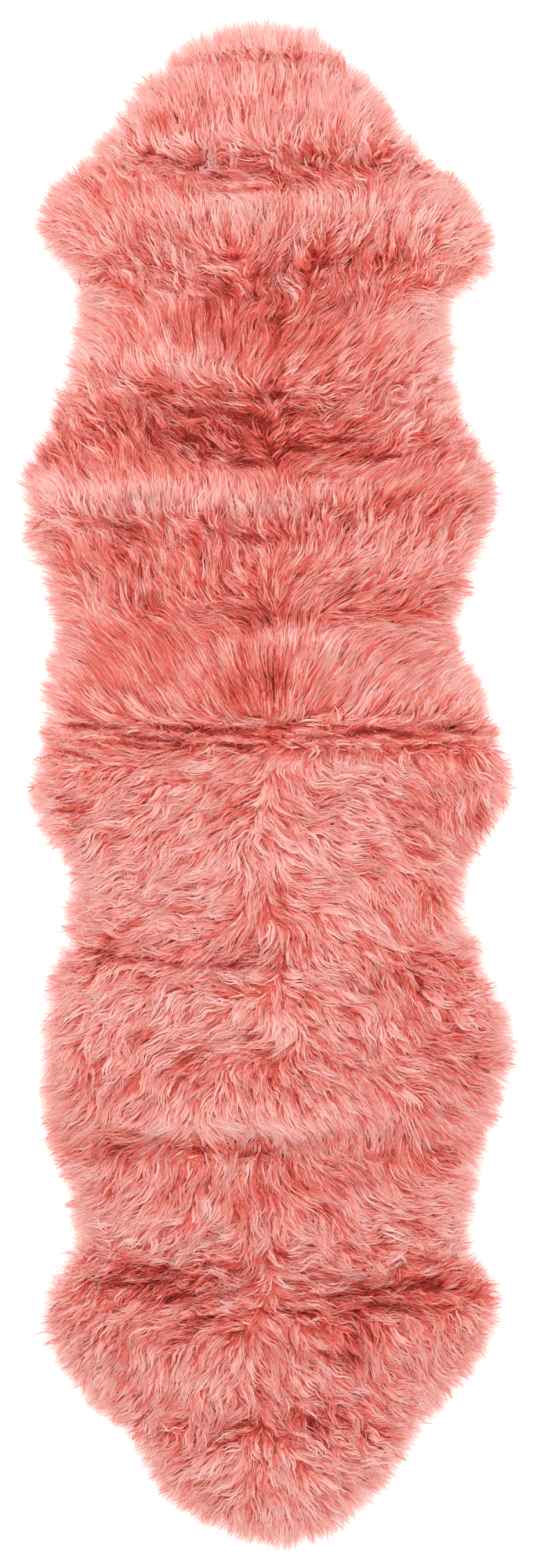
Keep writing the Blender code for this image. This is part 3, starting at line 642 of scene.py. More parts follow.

# The wool's colours. Each lane of its map holds a tone, and each stop below a tone's colour at the
# roots and at the tips. The deepest stops are painted shade in crevices, the roots are darker
# partly as painted shade deep in the fleece, and the palest tips are partly painted sheen.
LANES = 24
LANE_HALF = 0.47  # half width of a strand in the map, in lanes
STREAKS = 3.2  # how much the hairs of one strand differ in tone
STREAK_FLOOR = 0.20  # tone below which no hair is darker than its strand
HAIRS_ACROSS = 4.7  # lumps of the hairs' noise in a lane's width
HAIRS_ALONG = 1.3  # and in a strand's length
EDGE_PAINTED_SHADE = 0.3  # painted shade: how far a strand's edges have the darker colour of its roots
WOOL_THROUGH = 0.38  # share of the light that shines through the wool
ROOT_COLOURS = (
    (0.00, (96, 14, 16)),
    (0.05, (162, 38, 32)),
    (0.15, (196, 57, 46)),
    (0.25, (209, 71, 58)),
    (0.45, (216, 91, 78)),
    (0.75, (223, 114, 102)),
    (1.00, (230, 138, 127)),
)
TIP_COLOURS = (
    (0.00, (104, 17, 18)),
    (0.05, (170, 43, 36)),
    (0.15, (203, 65, 54)),
    (0.25, (213, 86, 72)),
    (0.45, (220, 127, 114)),
    (0.68, (225, 170, 161)),
    (0.88, (230, 193, 186)),
    (1.00, (235, 206, 199)),
)
TIPS_FROM_ROOTS = ((0.10, 0.0), (0.45, 0.6), (0.9, 1.0))  # place along a strand, tips' share
HIDE_COLOURS = ((0.30, (206, 148, 134)), (0.52, (224, 170, 155)), (0.72, (232, 186, 170)))
THREAD_COLOURS = ((0.2, (176, 92, 84)), (0.8, (214, 132, 120)))

# The studio, with its lamps' power in watts.
FLOOR_HALF = 6.0
FLOOR_WHITE = 0.92
FLOOR_GLOW = 0.25
SKY = 1.10  # strength of the white sky
KEY_POWER = 84
FILL_POWER = 43
VIEW_HEIGHT = 1.846  # length of floor that the picture shows
VIEW_CENTRE = (0.0050, 0.0010)  # point of the floor in its middle
CAMERA_HEIGHT = 7.0
SENSOR = 36.0  # in millimetres, along the picture's height


def smoothstep(t):
    t = np.clip(t, 0.0, 1.0)
    return t * t * (3.0 - 2.0 * t)


def by_roughness(rough, silky, more, most):
    """silky for silky wool, more than that for rough wool, and most for the roughest alone."""
    return silky + more * rough + most * rough**3


def unit(vectors):
    return vectors / np.maximum(np.linalg.norm(vectors, axis=-1), TINY)[..., None]


def between(table, i, j, u, v):
    """The table's values at the shares u and v of the way from column i and row j."""
    low = table[j, i] * (1 - u) + table[j, i + 1] * u
    high = table[j + 1, i] * (1 - u) + table[j + 1, i + 1] * u
    return low * (1 - v) + high * v


class Lattice:
    """Values on a square grid over one pelt, read between the grid's points."""

    def __init__(self, low, high):
        self.low = np.array(low)
        counts = np.ceil((np.array(high) - self.low) / CELL).astype(int) + 1
        self.xs = self.low[0] + CELL * np.arange(counts[0])
        self.ys = self.low[1] + CELL * np.arange(counts[1])
        self.x, self.y = np.meshgrid(self.xs, self.ys)

    def read(self, values, points):
        """values, a grid of numbers or of vectors, at each of the points (..., 2)."""
        u = np.clip((points[..., 0] - self.low[0]) / CELL, 0, len(self.xs) - LAST_CELL)
        v = np.clip((points[..., 1] - self.low[1]) / CELL, 0, len(self.ys) - LAST_CELL)
        i, j = u.astype(int), v.astype(int)
        u, v = u - i, v - j
        if values.ndim == 3:
            u, v = u[..., None], v[..., None]
        return between(values, i, j, u, v)


def value_noise(x, y, size, draw):
    """Smooth noise from -1 to 1 with lumps of about this size."""
    u, v = (x - x.min()) / size, (y - y.min()) / size
    table = draw.uniform(-1, 1, (int(v.max()) + 3, int(u.max()) + 3))
    i, j = u.astype(int), v.astype(int)
    u, v = smoothstep(u - i), smoothstep(v - j)
    return between(table, i, j, u, v)


def read_chart(rows, stations, values_of, x, y):
    """The chart at each x, y, where values_of(row) stand at the stations: straight from
    station to station, and smooth from row to row."""
    rows = sorted(rows)
    row_y = np.array([row[0] for row in rows])
    table = np.array([values_of(row) for row in rows])
    stations = np.array(stations)
    j = np.clip(np.searchsorted(row_y, y) - 1, 0, len(row_y) - 2)
    v = smoothstep((y - row_y[j]) / (row_y[j + 1] - row_y[j]))
    i = np.clip(np.searchsorted(stations, x) - 1, 0, len(stations) - 2)
    u = np.clip((x - stations[i]) / (stations[i + 1] - stations[i]), 0, 1)
    return between(table, i, j, u, v)


def place_axes(x, y, px, py, turn):
    """Distances along and across a place's line, and the line's direction."""
    c, s = math.cos(math.radians(turn)), math.sin(math.radians(turn))
    dx, dy = x - px, y - py
    return c * dx + s * dy, c * dy - s * dx, np.array([c, s])


def corners_of(mesh):
    corners = np.empty(3 * len(mesh.vertices))
    mesh.vertices.foreach_get("co", corners)
    return corners.reshape(-1, 3)


def hide_outline(node):
    """The hide's edge as a ring of points, anticlockwise from above: each rim point of the
    solid has one on the floor under it."""
    points = np.unique(np.round(corners_of(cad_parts[node].data), RIM_DIGITS), axis=0)
    floor = {tuple(p[:2]) for p in points if p[2] == 0}
    rim = []
    for p in points:
        at_rim = abs(p[2] - RIM_HEIGHT) < RIM_HEIGHT_ERROR and tuple(p[:2]) in floor
        if at_rim and all(np.hypot(*(p[:2] - q)) > SAME_POINT for q in rim):
            rim.append(p[:2])
    rim = np.array(rim)
    is_right = rim[:, 0] > rim[:, 0].mean()
    right, left = rim[is_right], rim[~is_right]
    return np.vstack([right[np.argsort(right[:, 1])], left[np.argsort(-left[:, 1])]])


def dense(ring, step):
    """Points along the closed ring, about one step apart."""
    points = []
    for a, b in zip(ring, np.roll(ring, -1, axis=0)):
        count = max(1, round(np.hypot(*(b - a)) / step))
        points.append(a + (b - a) * np.arange(count)[:, None] / count)
    return np.vstack(points)


def is_inside(ring, x, y):
    inside = np.zeros(x.shape, bool)
    for (x0, y0), (x1, y1) in zip(ring, np.roll(ring, -1, axis=0)):
        if y0 != y1:
            crosses = (y0 > y) != (y1 > y)
            inside ^= crosses & (x < x0 + (y - y0) * (x1 - x0) / (y1 - y0))
    return inside


def staggered(ring, pitch):
    """Points in staggered rows over the ring's box."""
    low, high = ring.min(axis=0), ring.max(axis=0)
    xs = np.arange(low[0], high[0], pitch)
    ys = np.arange(low[1], high[1], pitch * ROW_GAP)
    x, y = np.meshgrid(xs, ys)
    x[1::2] += pitch / 2
    return np.column_stack([x.ravel(), y.ravel()])


def blurred(values, rounds):
    for _ in range(rounds):
        padded = np.pad(values, 1, mode="edge")
        values = (
            4 * values
            + 2 * (padded[:-2, 1:-1] + padded[2:, 1:-1] + padded[1:-1, :-2] + padded[1:-1, 2:])
            + padded[:-2, :-2] + padded[:-2, 2:] + padded[2:, :-2] + padded[2:, 2:]
        ) / 16
    return values


def solid_tree(node):
    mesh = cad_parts[node].data
    points = [v.co for v in mesh.vertices]
    return BVHTree.FromPolygons(points, [p.vertices[:] for p in mesh.polygons])


OUTLINES = {name: hide_outline(f"pelt_{name}") for name in ("upper", "lower")}
SOLIDS = [solid_tree(f"pelt_{name}") for name in OUTLINES]


class Pelt:
    """One pelt's outline, and grids of its wool's height, direction, tone and silkiness."""

    def __init__(self, name, comb, look, neck_side, seed):
        self.name, self.node = name, f"pelt_{name}"
        self.neck_side = neck_side
        self.draw = np.random.default_rng(seed)
        self.outline = OUTLINES[name]
        low = self.outline.min(axis=0) - GRID_MARGIN
        high = self.outline.max(axis=0) + GRID_MARGIN
        self.grid = Lattice(low, high)
        x, y = self.grid.x, self.grid.y
        self.seam_y = max(self.outline[:, 1]) if neck_side < 0 else min(self.outline[:, 1])
        self.inside = is_inside(self.outline, x, y)
        self.over_other = is_inside(self.other_outline(), x, y) & ~self.inside
        self.read_rim(x, y)
        self.read_height(x, y)
        self.read_look(look, x, y)
        self.read_places(x, y)
        self.read_comb(comb, x, y)
        self.reach = np.ones(x.shape)
        for px, py, radius, more in LONG_WOOL:
            self.reach += more * np.exp(-((x - px) ** 2 + (y - py) ** 2) / radius**2)

    def other_outline(self):
        """The other pelt's outline, moved to close the gap at the seam."""
        other = next(ring for name, ring in OUTLINES.items() if name != self.name)
        return other + (0.0, self.neck_side * SEAM_CLOSE)

    def read_rim(self, x, y):
        """The distance to the rug's trimmed edge, not counting the seam, and the way out to it."""
        own, other = (dense(ring, RIM_STEP) for ring in (self.outline, self.other_outline()))
        self.rim = own[abs(own[:, 1] - self.seam_y) > SEAM_NEAR]
        from_seam = abs(other[:, 1] - self.seam_y)
        rest = other[(from_seam > SEAM_NEAR) & (from_seam < OTHER_RIM_WITHIN)]
        best = np.full(x.shape, FAR)
        way = np.zeros(x.shape + (2,))
        for px, py in np.vstack([self.rim, rest]):
            dx, dy = px - x, py - y
            d = np.hypot(dx, dy)
            near = d < best
            best[near] = d[near]
            way[near] = np.stack([dx, dy], axis=-1)[near]
        way /= np.maximum(best, TINY)[..., None]
        within = self.inside | self.over_other
        self.depth = np.where(within, best, -best)
        self.way = np.where(within[..., None], way, -way)

    def read_height(self, x, y):
        """The height of the wool: that of the solids over the hides, also past the seam, and
        a fall to the floor round them."""
        down = Vector((0, 0, -1))
        fall = np.clip(1 + self.depth / FRINGE_FALL, 0, 1)
        height = FLOOR_WOOL + (RIM_HEIGHT - FLOOR_WOOL) * fall**FRINGE_SLOPE
        near_other = self.over_other & (abs(y - self.seam_y) < OTHER_RIM_WITHIN)
        for j, i in zip(*np.nonzero(self.inside | near_other)):
            for tree in SOLIDS:
                hit = tree.ray_cast(Vector((x[j, i], y[j, i], RAY_TOP)), down)[0]
                if hit is not None:
                    height[j, i] = hit.z
        closing = np.exp(-(((y - self.seam_y) / SEAM_FILL_RUN) ** 2))
        filled = SEAM_FILL * closing * smoothstep(self.depth / SEAM_FILL_RIM)
        self.height = blurred(height, HEIGHT_BLURS) + filled

    def read_look(self, look, x, y):
        # The chart's tone carries the dye and painted light together: painted sheen in pale bands,
        # painted shade in deep ones.
        self.tone = read_chart(look, LOOK_STATIONS, lambda row: row[2:], x, y)
        for size, change in TONE_LUMPS:
            self.tone += change * value_noise(x, y, size, self.draw)
        self.tone += RIM_TONE * smoothstep(1 - self.depth / RIM_WIDE)
        stations = len(LOOK_STATIONS)
        self.silk = read_chart(look, LOOK_STATIONS, lambda row: [row[1]] * stations, x, y)

    def read_places(self, x, y):
        for px, py, long, wide, turn, tone, lift in PLACES:
            ahead, aside, _ = place_axes(x, y, px, py, turn)
            u, v = ahead / long, aside / wide
            share = np.exp(-PLACE_ENDS * u**2 - v**2)
            # Painted shade where a place is darker, painted highlight where it is paler.
            self.tone += tone * share
            self.height += lift * share
            # Pale lips beside a dark crevice: painted highlight along its edges.
            if tone < CREVICE_SHADE_TONE:
                lips = np.exp(-((v - LIP_AT) ** 2)) + np.exp(-((v + LIP_AT) ** 2))
                self.tone += LIP_HIGHLIGHT_TONE * np.exp(-PLACE_ENDS * u**2) * lips

    def read_comb(self, comb, x, y):
        """The wool's direction: the chart's, uneven, along the narrow places, outwards at the
        rim and over the seam beside it."""
        swayed = x + SPINE_SWAY * value_noise(x, y, SPINE_SWAY_SIZE, self.draw)

        def part(of):
            def values(row):
                return [of(math.radians(a)) for a in row[1:]]

            return read_chart(comb, COMB_STATIONS, values, swayed, y)

        angle = np.arctan2(part(math.sin), part(math.cos))
        for size, *turn in SWERVES:
            turn = np.radians(by_roughness(1 - self.silk, *turn))
            angle += turn * value_noise(x, y, size, self.draw)
        self.flow = np.stack([np.cos(angle), np.sin(angle)], axis=-1)
        self.follow_lines(x, y)
        outward = RIM_OUTWARD * smoothstep(1 - self.depth / RIM_WIDE)
        outward = outward + FRINGE_OUTWARD * smoothstep(-self.depth / FRINGE_TURN)
        outward = outward[..., None]
        self.flow = self.flow * (1 - OUTWARD_LOSS * outward) + self.way * outward
        from_seam = (y - self.seam_y) * self.neck_side
        lean = SEAM_LEAN * np.exp(-((from_seam / SEAM_LEAN_RUN) ** 2))
        self.flow[..., 1] -= np.where(from_seam > -SEAM_LEAN_PAST, lean, 0.0) * self.neck_side
        self.flow = unit(self.flow)

    def follow_lines(self, x, y):
        """Turns the wool along the narrow crevices and crests among the places."""
        for px, py, long, wide, turn, tone, _ in PLACES:
            if wide > LINE_WIDE or abs(tone) < LINE_TONE:
                continue
            ahead, aside, line = place_axes(x, y, px, py, turn)
            u, v = ahead / long, aside / (wide * LINE_REACH)
            share = LINE_FOLLOW * np.exp(-PLACE_ENDS * u**2 - v**2)
            share = (share * smoothstep((self.depth - LINE_OFF_RIM) / LINE_FADE))[..., None]
            way = np.sign(self.flow @ line)[..., None] * line
            self.flow = self.flow * (1 - share) + way * share


def lock_roots(pelt):
    """Roots of the locks, evenly over the hide."""
    points = staggered(pelt.outline, LOCK_PITCH)
    points += pelt.draw.uniform(-ROOT_JITTER, ROOT_JITTER, points.shape) * LOCK_PITCH
    depth = pelt.grid.read(pelt.depth, points)
    return points[is_inside(pelt.outline, *points.T) & (depth > ROOT_OFF_RIM)]


def seam_roots(pelt):
    """Roots of more locks close along the seam, which close over it."""
    low, high = pelt.outline.min(axis=0), pelt.outline.max(axis=0)
    count = round((high[0] - low[0]) / SEAM_PITCH)
    x = pelt.draw.uniform(low[0], high[0], count)
    y = pelt.seam_y + pelt.neck_side * pelt.draw.uniform(*SEAM_ROOTS, count)
    return np.column_stack([x, y])[is_inside(pelt.outline, x, y)]


def wisp_roots(pelt):
    """Roots of the fine wisps, close along the rim."""
    tries = round(len(pelt.rim) * RIM_STEP / WISP_PITCH)
    picked = pelt.rim[pelt.draw.integers(0, len(pelt.rim), tries)]
    picked = picked + pelt.draw.normal(0, WISP_SCATTER, picked.shape)
    depth = pelt.grid.read(pelt.depth, picked)
    least, most = WISP_OFF_RIM
    return picked[(depth > least) & (depth < most)]


def thin_spots(pelt, paths):
    """Roots for more locks, over the places that these strands leave thin."""
    grid = pelt.grid
    points = paths[:, 1:-1, :2].reshape(-1, 2)
    i, j = np.round((points - grid.low) / CELL).astype(int).T
    kept = (i >= 0) & (j >= 0) & (i < len(grid.xs)) & (j < len(grid.ys))
    cover = np.zeros(grid.x.shape)
    np.add.at(cover, (j[kept], i[kept]), 1)
    lack = np.clip(COVER - blurred(cover, COVER_BLURS), 0, None) * pelt.inside
    chosen = pelt.draw.uniform(0, 1, lack.shape) < COVER_SHARE * lack
    roots = np.column_stack([grid.x[chosen], grid.y[chosen]])
    upstream = roots - COVER_BACK * grid.read(pelt.flow, roots)
    inside = is_inside(pelt.outline, *upstream.T)
    return np.where(inside[:, None], upstream, roots)


def along(lines, share):
    """The lines' values at the shares (strands, points) of their length."""
    last = lines.shape[1] - LAST_CELL
    at = np.clip(share * (lines.shape[1] - 1), 0, last)
    k = at.astype(int)
    t = at - k
    rows = np.arange(len(lines))[:, None]
    if lines.ndim == 3:
        t = t[..., None]
    return lines[rows, k] * (1 - t) + lines[rows, k + 1] * t


def within_fringe(pelt, lines, share, limit):
    """The share of each line's length that ends within its limit past the hide."""
    s = np.linspace(0, 1, FRINGE_LOOKS)[None, :] * share[:, None]
    past = -pelt.grid.read(pelt.depth, along(lines, s))
    beyond = past > limit[:, None]
    beyond[:, 0] = False
    first = np.maximum(beyond.argmax(axis=1), 1)
    rows = np.arange(len(lines))
    a, b = past[rows, first - 1], past[rows, first]
    t = np.clip((limit - a) / np.maximum(b - a, TINY), 0, 1)
    cut = (first - 1 + t) / (FRINGE_LOOKS - 1)
    return share * np.where(beyond.any(axis=1), np.maximum(cut, FRINGE_LEAST), 1.0)


class Locks:
    """The locks at these roots: how long, how deep and how wavy each is, and its middle line."""

    def __init__(self, pelt, roots, length, shorter=0.0, spread=LOCK_SPREAD):
        draw, grid = pelt.draw, pelt.grid
        n = len(roots)
        self.roots = roots
        silk = grid.read(pelt.silk, roots)
        self.rough = rough = 1 - silk
        self.depth = grid.read(pelt.depth, roots)
        lengths = length * draw.uniform(*LENGTH_SPREAD, n) * (LENGTH_ROUGH + LENGTH_SILK * silk)
        lengths *= 1 - shorter * smoothstep(1 - self.depth / RIM_SHORTER_WIDE)
        self.lengths = lengths * grid.read(pelt.reach, roots)
        self.level = -LOCK_DEPTH * draw.uniform(0, 1, n) * by_roughness(rough, *LOCK_DEPTH_SHARE)
        self.level += LOCK_RISE * rough * draw.normal(0, 1, n)
        own_tone = draw.normal(0, 1, n) * by_roughness(rough, *LOCK_TONE)
        # A lower lock is darker: painted shade deep in the fleece.
        self.tone = LOWER_LOCK_SHADE * self.level + own_tone
        self.forth = draw.normal(0, LOCK_FORTH, n)
        rough_spread = ROUGH_SPREAD * rough**ROUGH_SPREAD_POWER
        turn = np.radians(draw.normal(0, 1, n) * (spread + rough_spread))
        wave = np.radians(by_roughness(rough, *WAVE)) * draw.uniform(*WAVE_SPREAD, n)
        wavelength = draw.uniform(*WAVELENGTH, n) * (1 + WAVELENGTH_SILK * silk)
        phase = draw.uniform(0, 2 * math.pi, n)
        bend = np.radians(draw.normal(0, 1, n) * by_roughness(rough, *BEND))
        self.follow_comb(pelt, turn, wave, wavelength, phase, bend)

    def follow_comb(self, pelt, turn, wave, wavelength, phase, bend):
        """Each lock's line from root to tip, along the comb: its points and headings."""
        point = self.roots.copy()
        points, headings = [point.copy()], []
        step = self.lengths / LOCK_STEPS
        for k in range(LOCK_STEPS + 1):
            s = k / LOCK_STEPS
            flow = pelt.grid.read(pelt.flow, point)
            heading = np.arctan2(flow[:, 1], flow[:, 0]) + turn + bend * s * s
            heading = heading + wave * min(1.0, WAVE_AT_ROOT + s) * np.sin(
                2 * math.pi * s * self.lengths / wavelength + phase
            )
            headings.append(heading)
            if k < LOCK_STEPS:
                ahead = np.column_stack([np.cos(heading), np.sin(heading)])
                point = point + step[:, None] * ahead
                points.append(point.copy())
        self.lines = np.stack(points, 1)
        self.headings = np.stack(headings, 1)


def strand_paths(pelt, locks, kind, lock):
    """The strands' middle lines, and the headings along them. lock is each strand's lock."""
    draw, grid = pelt.draw, pelt.grid
    count, per = len(lock), kind["count"]
    rough = locks.rough[lock]
    limit = draw.uniform(*kind["fringe"], count) * grid.read(pelt.reach, locks.roots)[lock]
    share = within_fringe(pelt, locks.lines[lock], draw.uniform(*kind["reach"], count), limit)
    s = np.tile(np.linspace(0, 1, kind["steps"] + 1), (count, 1))
    base = along(locks.lines[lock], s * share[:, None])
    heading = along(locks.headings[lock], s * share[:, None])

    place = np.tile(np.arange(per) - (per - 1) / 2, len(locks.roots))
    across = place * kind["spacing"] + draw.normal(0, kind["scatter"], count)
    forth = locks.forth[lock] + draw.normal(0, kind["forth"], count)
    inland = smoothstep(locks.depth[lock] / RIM_WIDE)
    gather = (kind["gather"] + (ROUGH_GATHER - kind["gather"]) * rough) * inland
    lean = by_roughness(rough, *LEAN) + LEAN_AT_RIM * (1 - inland)
    lean = np.radians(draw.normal(0, 1, count) * lean)
    offset = across[:, None] * (1 - gather[:, None] * s**GATHER_POWER)
    offset = offset + np.sin(lean)[:, None] * s * locks.lengths[lock][:, None]
    own_wave = draw.uniform(*OWN_WAVE_SPREAD, count) * by_roughness(rough, *OWN_WAVE)
    own_phase = draw.uniform(0, 2 * math.pi, count)
    swing = np.sin(2 * math.pi * s * OWN_WAVES + own_phase[:, None])
    offset += own_wave[:, None] * swing * s
    aside = np.stack([-np.sin(heading), np.cos(heading)], -1)
    ahead = np.stack([np.cos(heading[:, :1]), np.sin(heading[:, :1])], -1)
    xy = base + aside * offset[..., None] + ahead * forth[:, None, None]

    surface = grid.read(pelt.height, xy)
    at_root, further = ROOT_RISE
    rise = at_root + further * np.sin(np.clip(s / RISE_BY, 0, 1) * math.pi / 2)
    level = np.maximum(locks.level, kind["lowest"])[lock] + draw.uniform(*kind["lift"], count)
    tip = by_roughness(rough, *TIP_RISE)[:, None] * s**2
    calm = np.clip(surface / FULL_HEIGHT, LEAST_CALM, 1.0)
    z = np.maximum(surface * rise + (level[:, None] + tip) * calm, LOWEST_STRAND)
    return np.concatenate([xy, z[..., None]], -1), heading


def half_widths(pelt, locks, kind, lock, paths):
    """From the strands' middle lines to one edge: sideways and level, but for their twist."""
    draw = pelt.draw
    count = len(lock)
    tangent = unit(np.gradient(paths, axis=1))
    side = unit(np.cross(tangent, (0.0, 0.0, 1.0)))
    other = np.cross(side, tangent)
    twist = np.radians(draw.uniform(-kind["twist"], kind["twist"], count))[:, None, None]
    side = side * np.cos(twist) + other * np.sin(twist)
    taper = np.interp(np.linspace(0, 1, kind["steps"] + 1), TAPER_AT, TAPER)
    width = kind["width"] * draw.uniform(*WIDTH_SPREAD, count)[:, None] * taper[None, :]
    at_rim, further_in = RIM_NARROW
    narrow = at_rim + further_in * smoothstep(locks.depth[lock] / RIM_WIDE)
    return side * (width * narrow[:, None] / 2)[..., None]


def strand_tones(pelt, locks, kind, lock, paths, heading):
    """The strands' tones, one for each of their steps."""
    draw = pelt.draw
    xy = paths[..., :2]
    middles = (xy[:, 1:] + xy[:, :-1]) / 2
    early = draw.normal(0, TONE_REACH, len(lock))[:, None, None]
    ahead = np.stack([np.cos(heading), np.sin(heading)], -1)[:, 1:]
    tone = pelt.grid.read(pelt.tone, middles + early * ahead)
    deep, pale = TONE_BY_TONE
    # A kind's own tone: for the tresses on top, painted highlight.
    tone += kind["tone"] * (deep + pale * tone)
    vary = by_roughness(locks.rough[lock], *VARY)
    own = locks.tone[lock] + draw.normal(0, kind["vary"], len(lock)) * vary
    tone = 0.5 + TONE_GAIN * (tone + own[:, None] - 0.5)
    return np.clip(TONE_FLOOR + (1 - TONE_FLOOR) * tone, 0.0, 1.0)


def strands_of(pelt, locks, kind):
    """The strands of all these locks: their middle lines, half widths and tones."""
    lock = np.repeat(np.arange(len(locks.roots)), kind["count"])
    paths, heading = strand_paths(pelt, locks, kind, lock)
    half = half_widths(pelt, locks, kind, lock, paths)
    tone = strand_tones(pelt, locks, kind, lock, paths, heading)
    kept = (np.abs(paths[..., :2]) < OUTMOST).all(axis=(1, 2))
    return paths[kept], half[kept], tone[kept]


def link(name, mesh):
    piece = bpy.data.objects.new(name, mesh)
    bpy.context.scene.collection.objects.link(piece)
    return piece


def ribbon_pattern(steps):
    """One ribbon's faces, quads and a triangle at the tip. For each corner: its vertex, its
    side, its step and whether it is at the step's end. For each face: its corners' number."""
    quads = steps - 1
    vertices = [2 * k + i for k in range(quads) for i in (0, 1, 3, 2)]
    vertices += [2 * quads, 2 * quads + 1, 2 * steps]
    side = np.array([-1, 1, 1, -1] * quads + [-1, 1, 0]) * LANE_HALF / LANES
    sizes = [4] * quads + [3]
    segment = np.repeat(np.arange(steps), sizes)
    ends = np.array([0, 0, 1, 1] * quads + [0, 0, 1])
    return np.array(vertices), side, segment, ends, np.array(sizes)


def ribbons(name, groups, material):
    """One joined mesh of tapering ribbons. A ribbon's place in the map is its tone, from
    side to side, and its length, from root to tip."""
    verts, uvs, loops, starts = [], [], [], []
    base = loop_base = 0
    for path, half, tone in groups:
        count, steps = len(path), path.shape[1] - 1
        vertices, side, segment, ends, sizes = ribbon_pattern(steps)
        edges = np.stack([(path - half)[:, :steps], (path + half)[:, :steps]], 2)
        block = np.concatenate([edges.reshape(count, 2 * steps, 3), path[:, -1:]], 1)
        lane = (np.round(tone * (LANES - 1)) + 0.5) / LANES
        uv = np.empty((count, len(side), 2))
        uv[..., 0] = lane[:, segment] + side
        uv[..., 1] = (segment + ends) / steps
        ribbon = np.arange(count)[:, None]
        per_ribbon = 2 * steps + 1
        start = np.concatenate([[0], np.cumsum(sizes)[:-1]])
        verts.append(block.reshape(-1, 3))
        uvs.append(uv.reshape(-1, 2))
        loops.append((vertices[None, :] + ribbon * per_ribbon).ravel() + base)
        starts.append((start[None, :] + ribbon * len(vertices) + loop_base).ravel())
        base += count * per_ribbon
        loop_base += count * len(vertices)
    verts, uvs = np.vstack(verts), np.vstack(uvs)
    loops, starts = np.concatenate(loops), np.concatenate(starts)
    mesh = bpy.data.meshes.new(name)
    mesh.vertices.add(len(verts))
    mesh.loops.add(len(loops))
    mesh.polygons.add(len(starts))
    mesh.vertices.foreach_set("co", verts.astype(np.float32).ravel())
    mesh.loops.foreach_set("vertex_index", loops.astype(np.int32))
    mesh.polygons.foreach_set("loop_start", starts.astype(np.int32))
    mesh.polygons.foreach_set("use_smooth", np.ones(len(starts), bool))
    mesh.update(calc_edges=True)
    layer = mesh.uv_layers.new(name="OFBake")
    layer.data.foreach_set("uv", uvs.astype(np.float32).ravel())
    mesh.materials.append(material)
    return link(name, mesh)


def srgb(r, g, b):
    return tuple(
        c / 12.92 if c <= 0.04045 else ((c + 0.055) / 1.055) ** 2.4
        for c in (r / 255, g / 255, b / 255)
    ) + (1.0,)


def grey(value):
    return (value, value, value, 1.0)


def node(tree, kind, **inputs):
    made = tree.nodes.new(kind)
    for name, value in inputs.items():
        made.inputs[name].default_value = value
    return made


def maths(tree, operation, first, second=None):
    made = tree.nodes.new("ShaderNodeMath")
    made.operation = operation
    for socket, value in zip(made.inputs, (first, second)):
        if isinstance(value, (int, float)):
            socket.default_value = value
        elif value is not None:
            tree.links.new(value, socket)
    return made.outputs[0]


def mixed(tree, factor, first, second):
    """Two colours mixed. The Mix node's sockets for colours are the seventh and eighth of its
    inputs and the third of its outputs."""
    made = tree.nodes.new("ShaderNodeMix")
    made.data_type = "RGBA"
    for index, value in ((0, factor), (6, first), (7, second)):
        tree.links.new(value, made.inputs[index])
    return made.outputs[2]


def ramp(tree, source, stops):
    made = tree.nodes.new("ShaderNodeValToRGB")
    elements = made.color_ramp.elements
    while len(elements) < len(stops):
        elements.new(0.5)
    for element, (at, colour) in zip(elements, stops):
        element.position = at
        element.color = colour
    tree.links.new(source, made.inputs["Fac"])
    return made.outputs["Color"]


def srgb_ramp(tree, source, stops):
    return ramp(tree, source, [(at, srgb(*colour)) for at, colour in stops])


def new_material(name, roughness, sheen=0.0, specular=0.5):
    material = bpy.data.materials.new(name)
    material.use_nodes = True
    tree = material.node_tree
    shader = tree.nodes["Principled BSDF"]
    shader.inputs["Roughness"].default_value = roughness
    shader.inputs["Sheen Weight"].default_value = sheen
    shader.inputs["Sheen Roughness"].default_value = 0.4
    shader.inputs["Specular IOR Level"].default_value = specular
    return material, tree, shader


def add_surface(tree, shader, colour, height, strength, distance):
    tree.links.new(colour, shader.inputs["Base Color"])
    bump = node(tree, "ShaderNodeBump", Strength=strength, Distance=distance)
    tree.links.new(height, bump.inputs["Height"])
    tree.links.new(bump.outputs["Normal"], shader.inputs["Normal"])


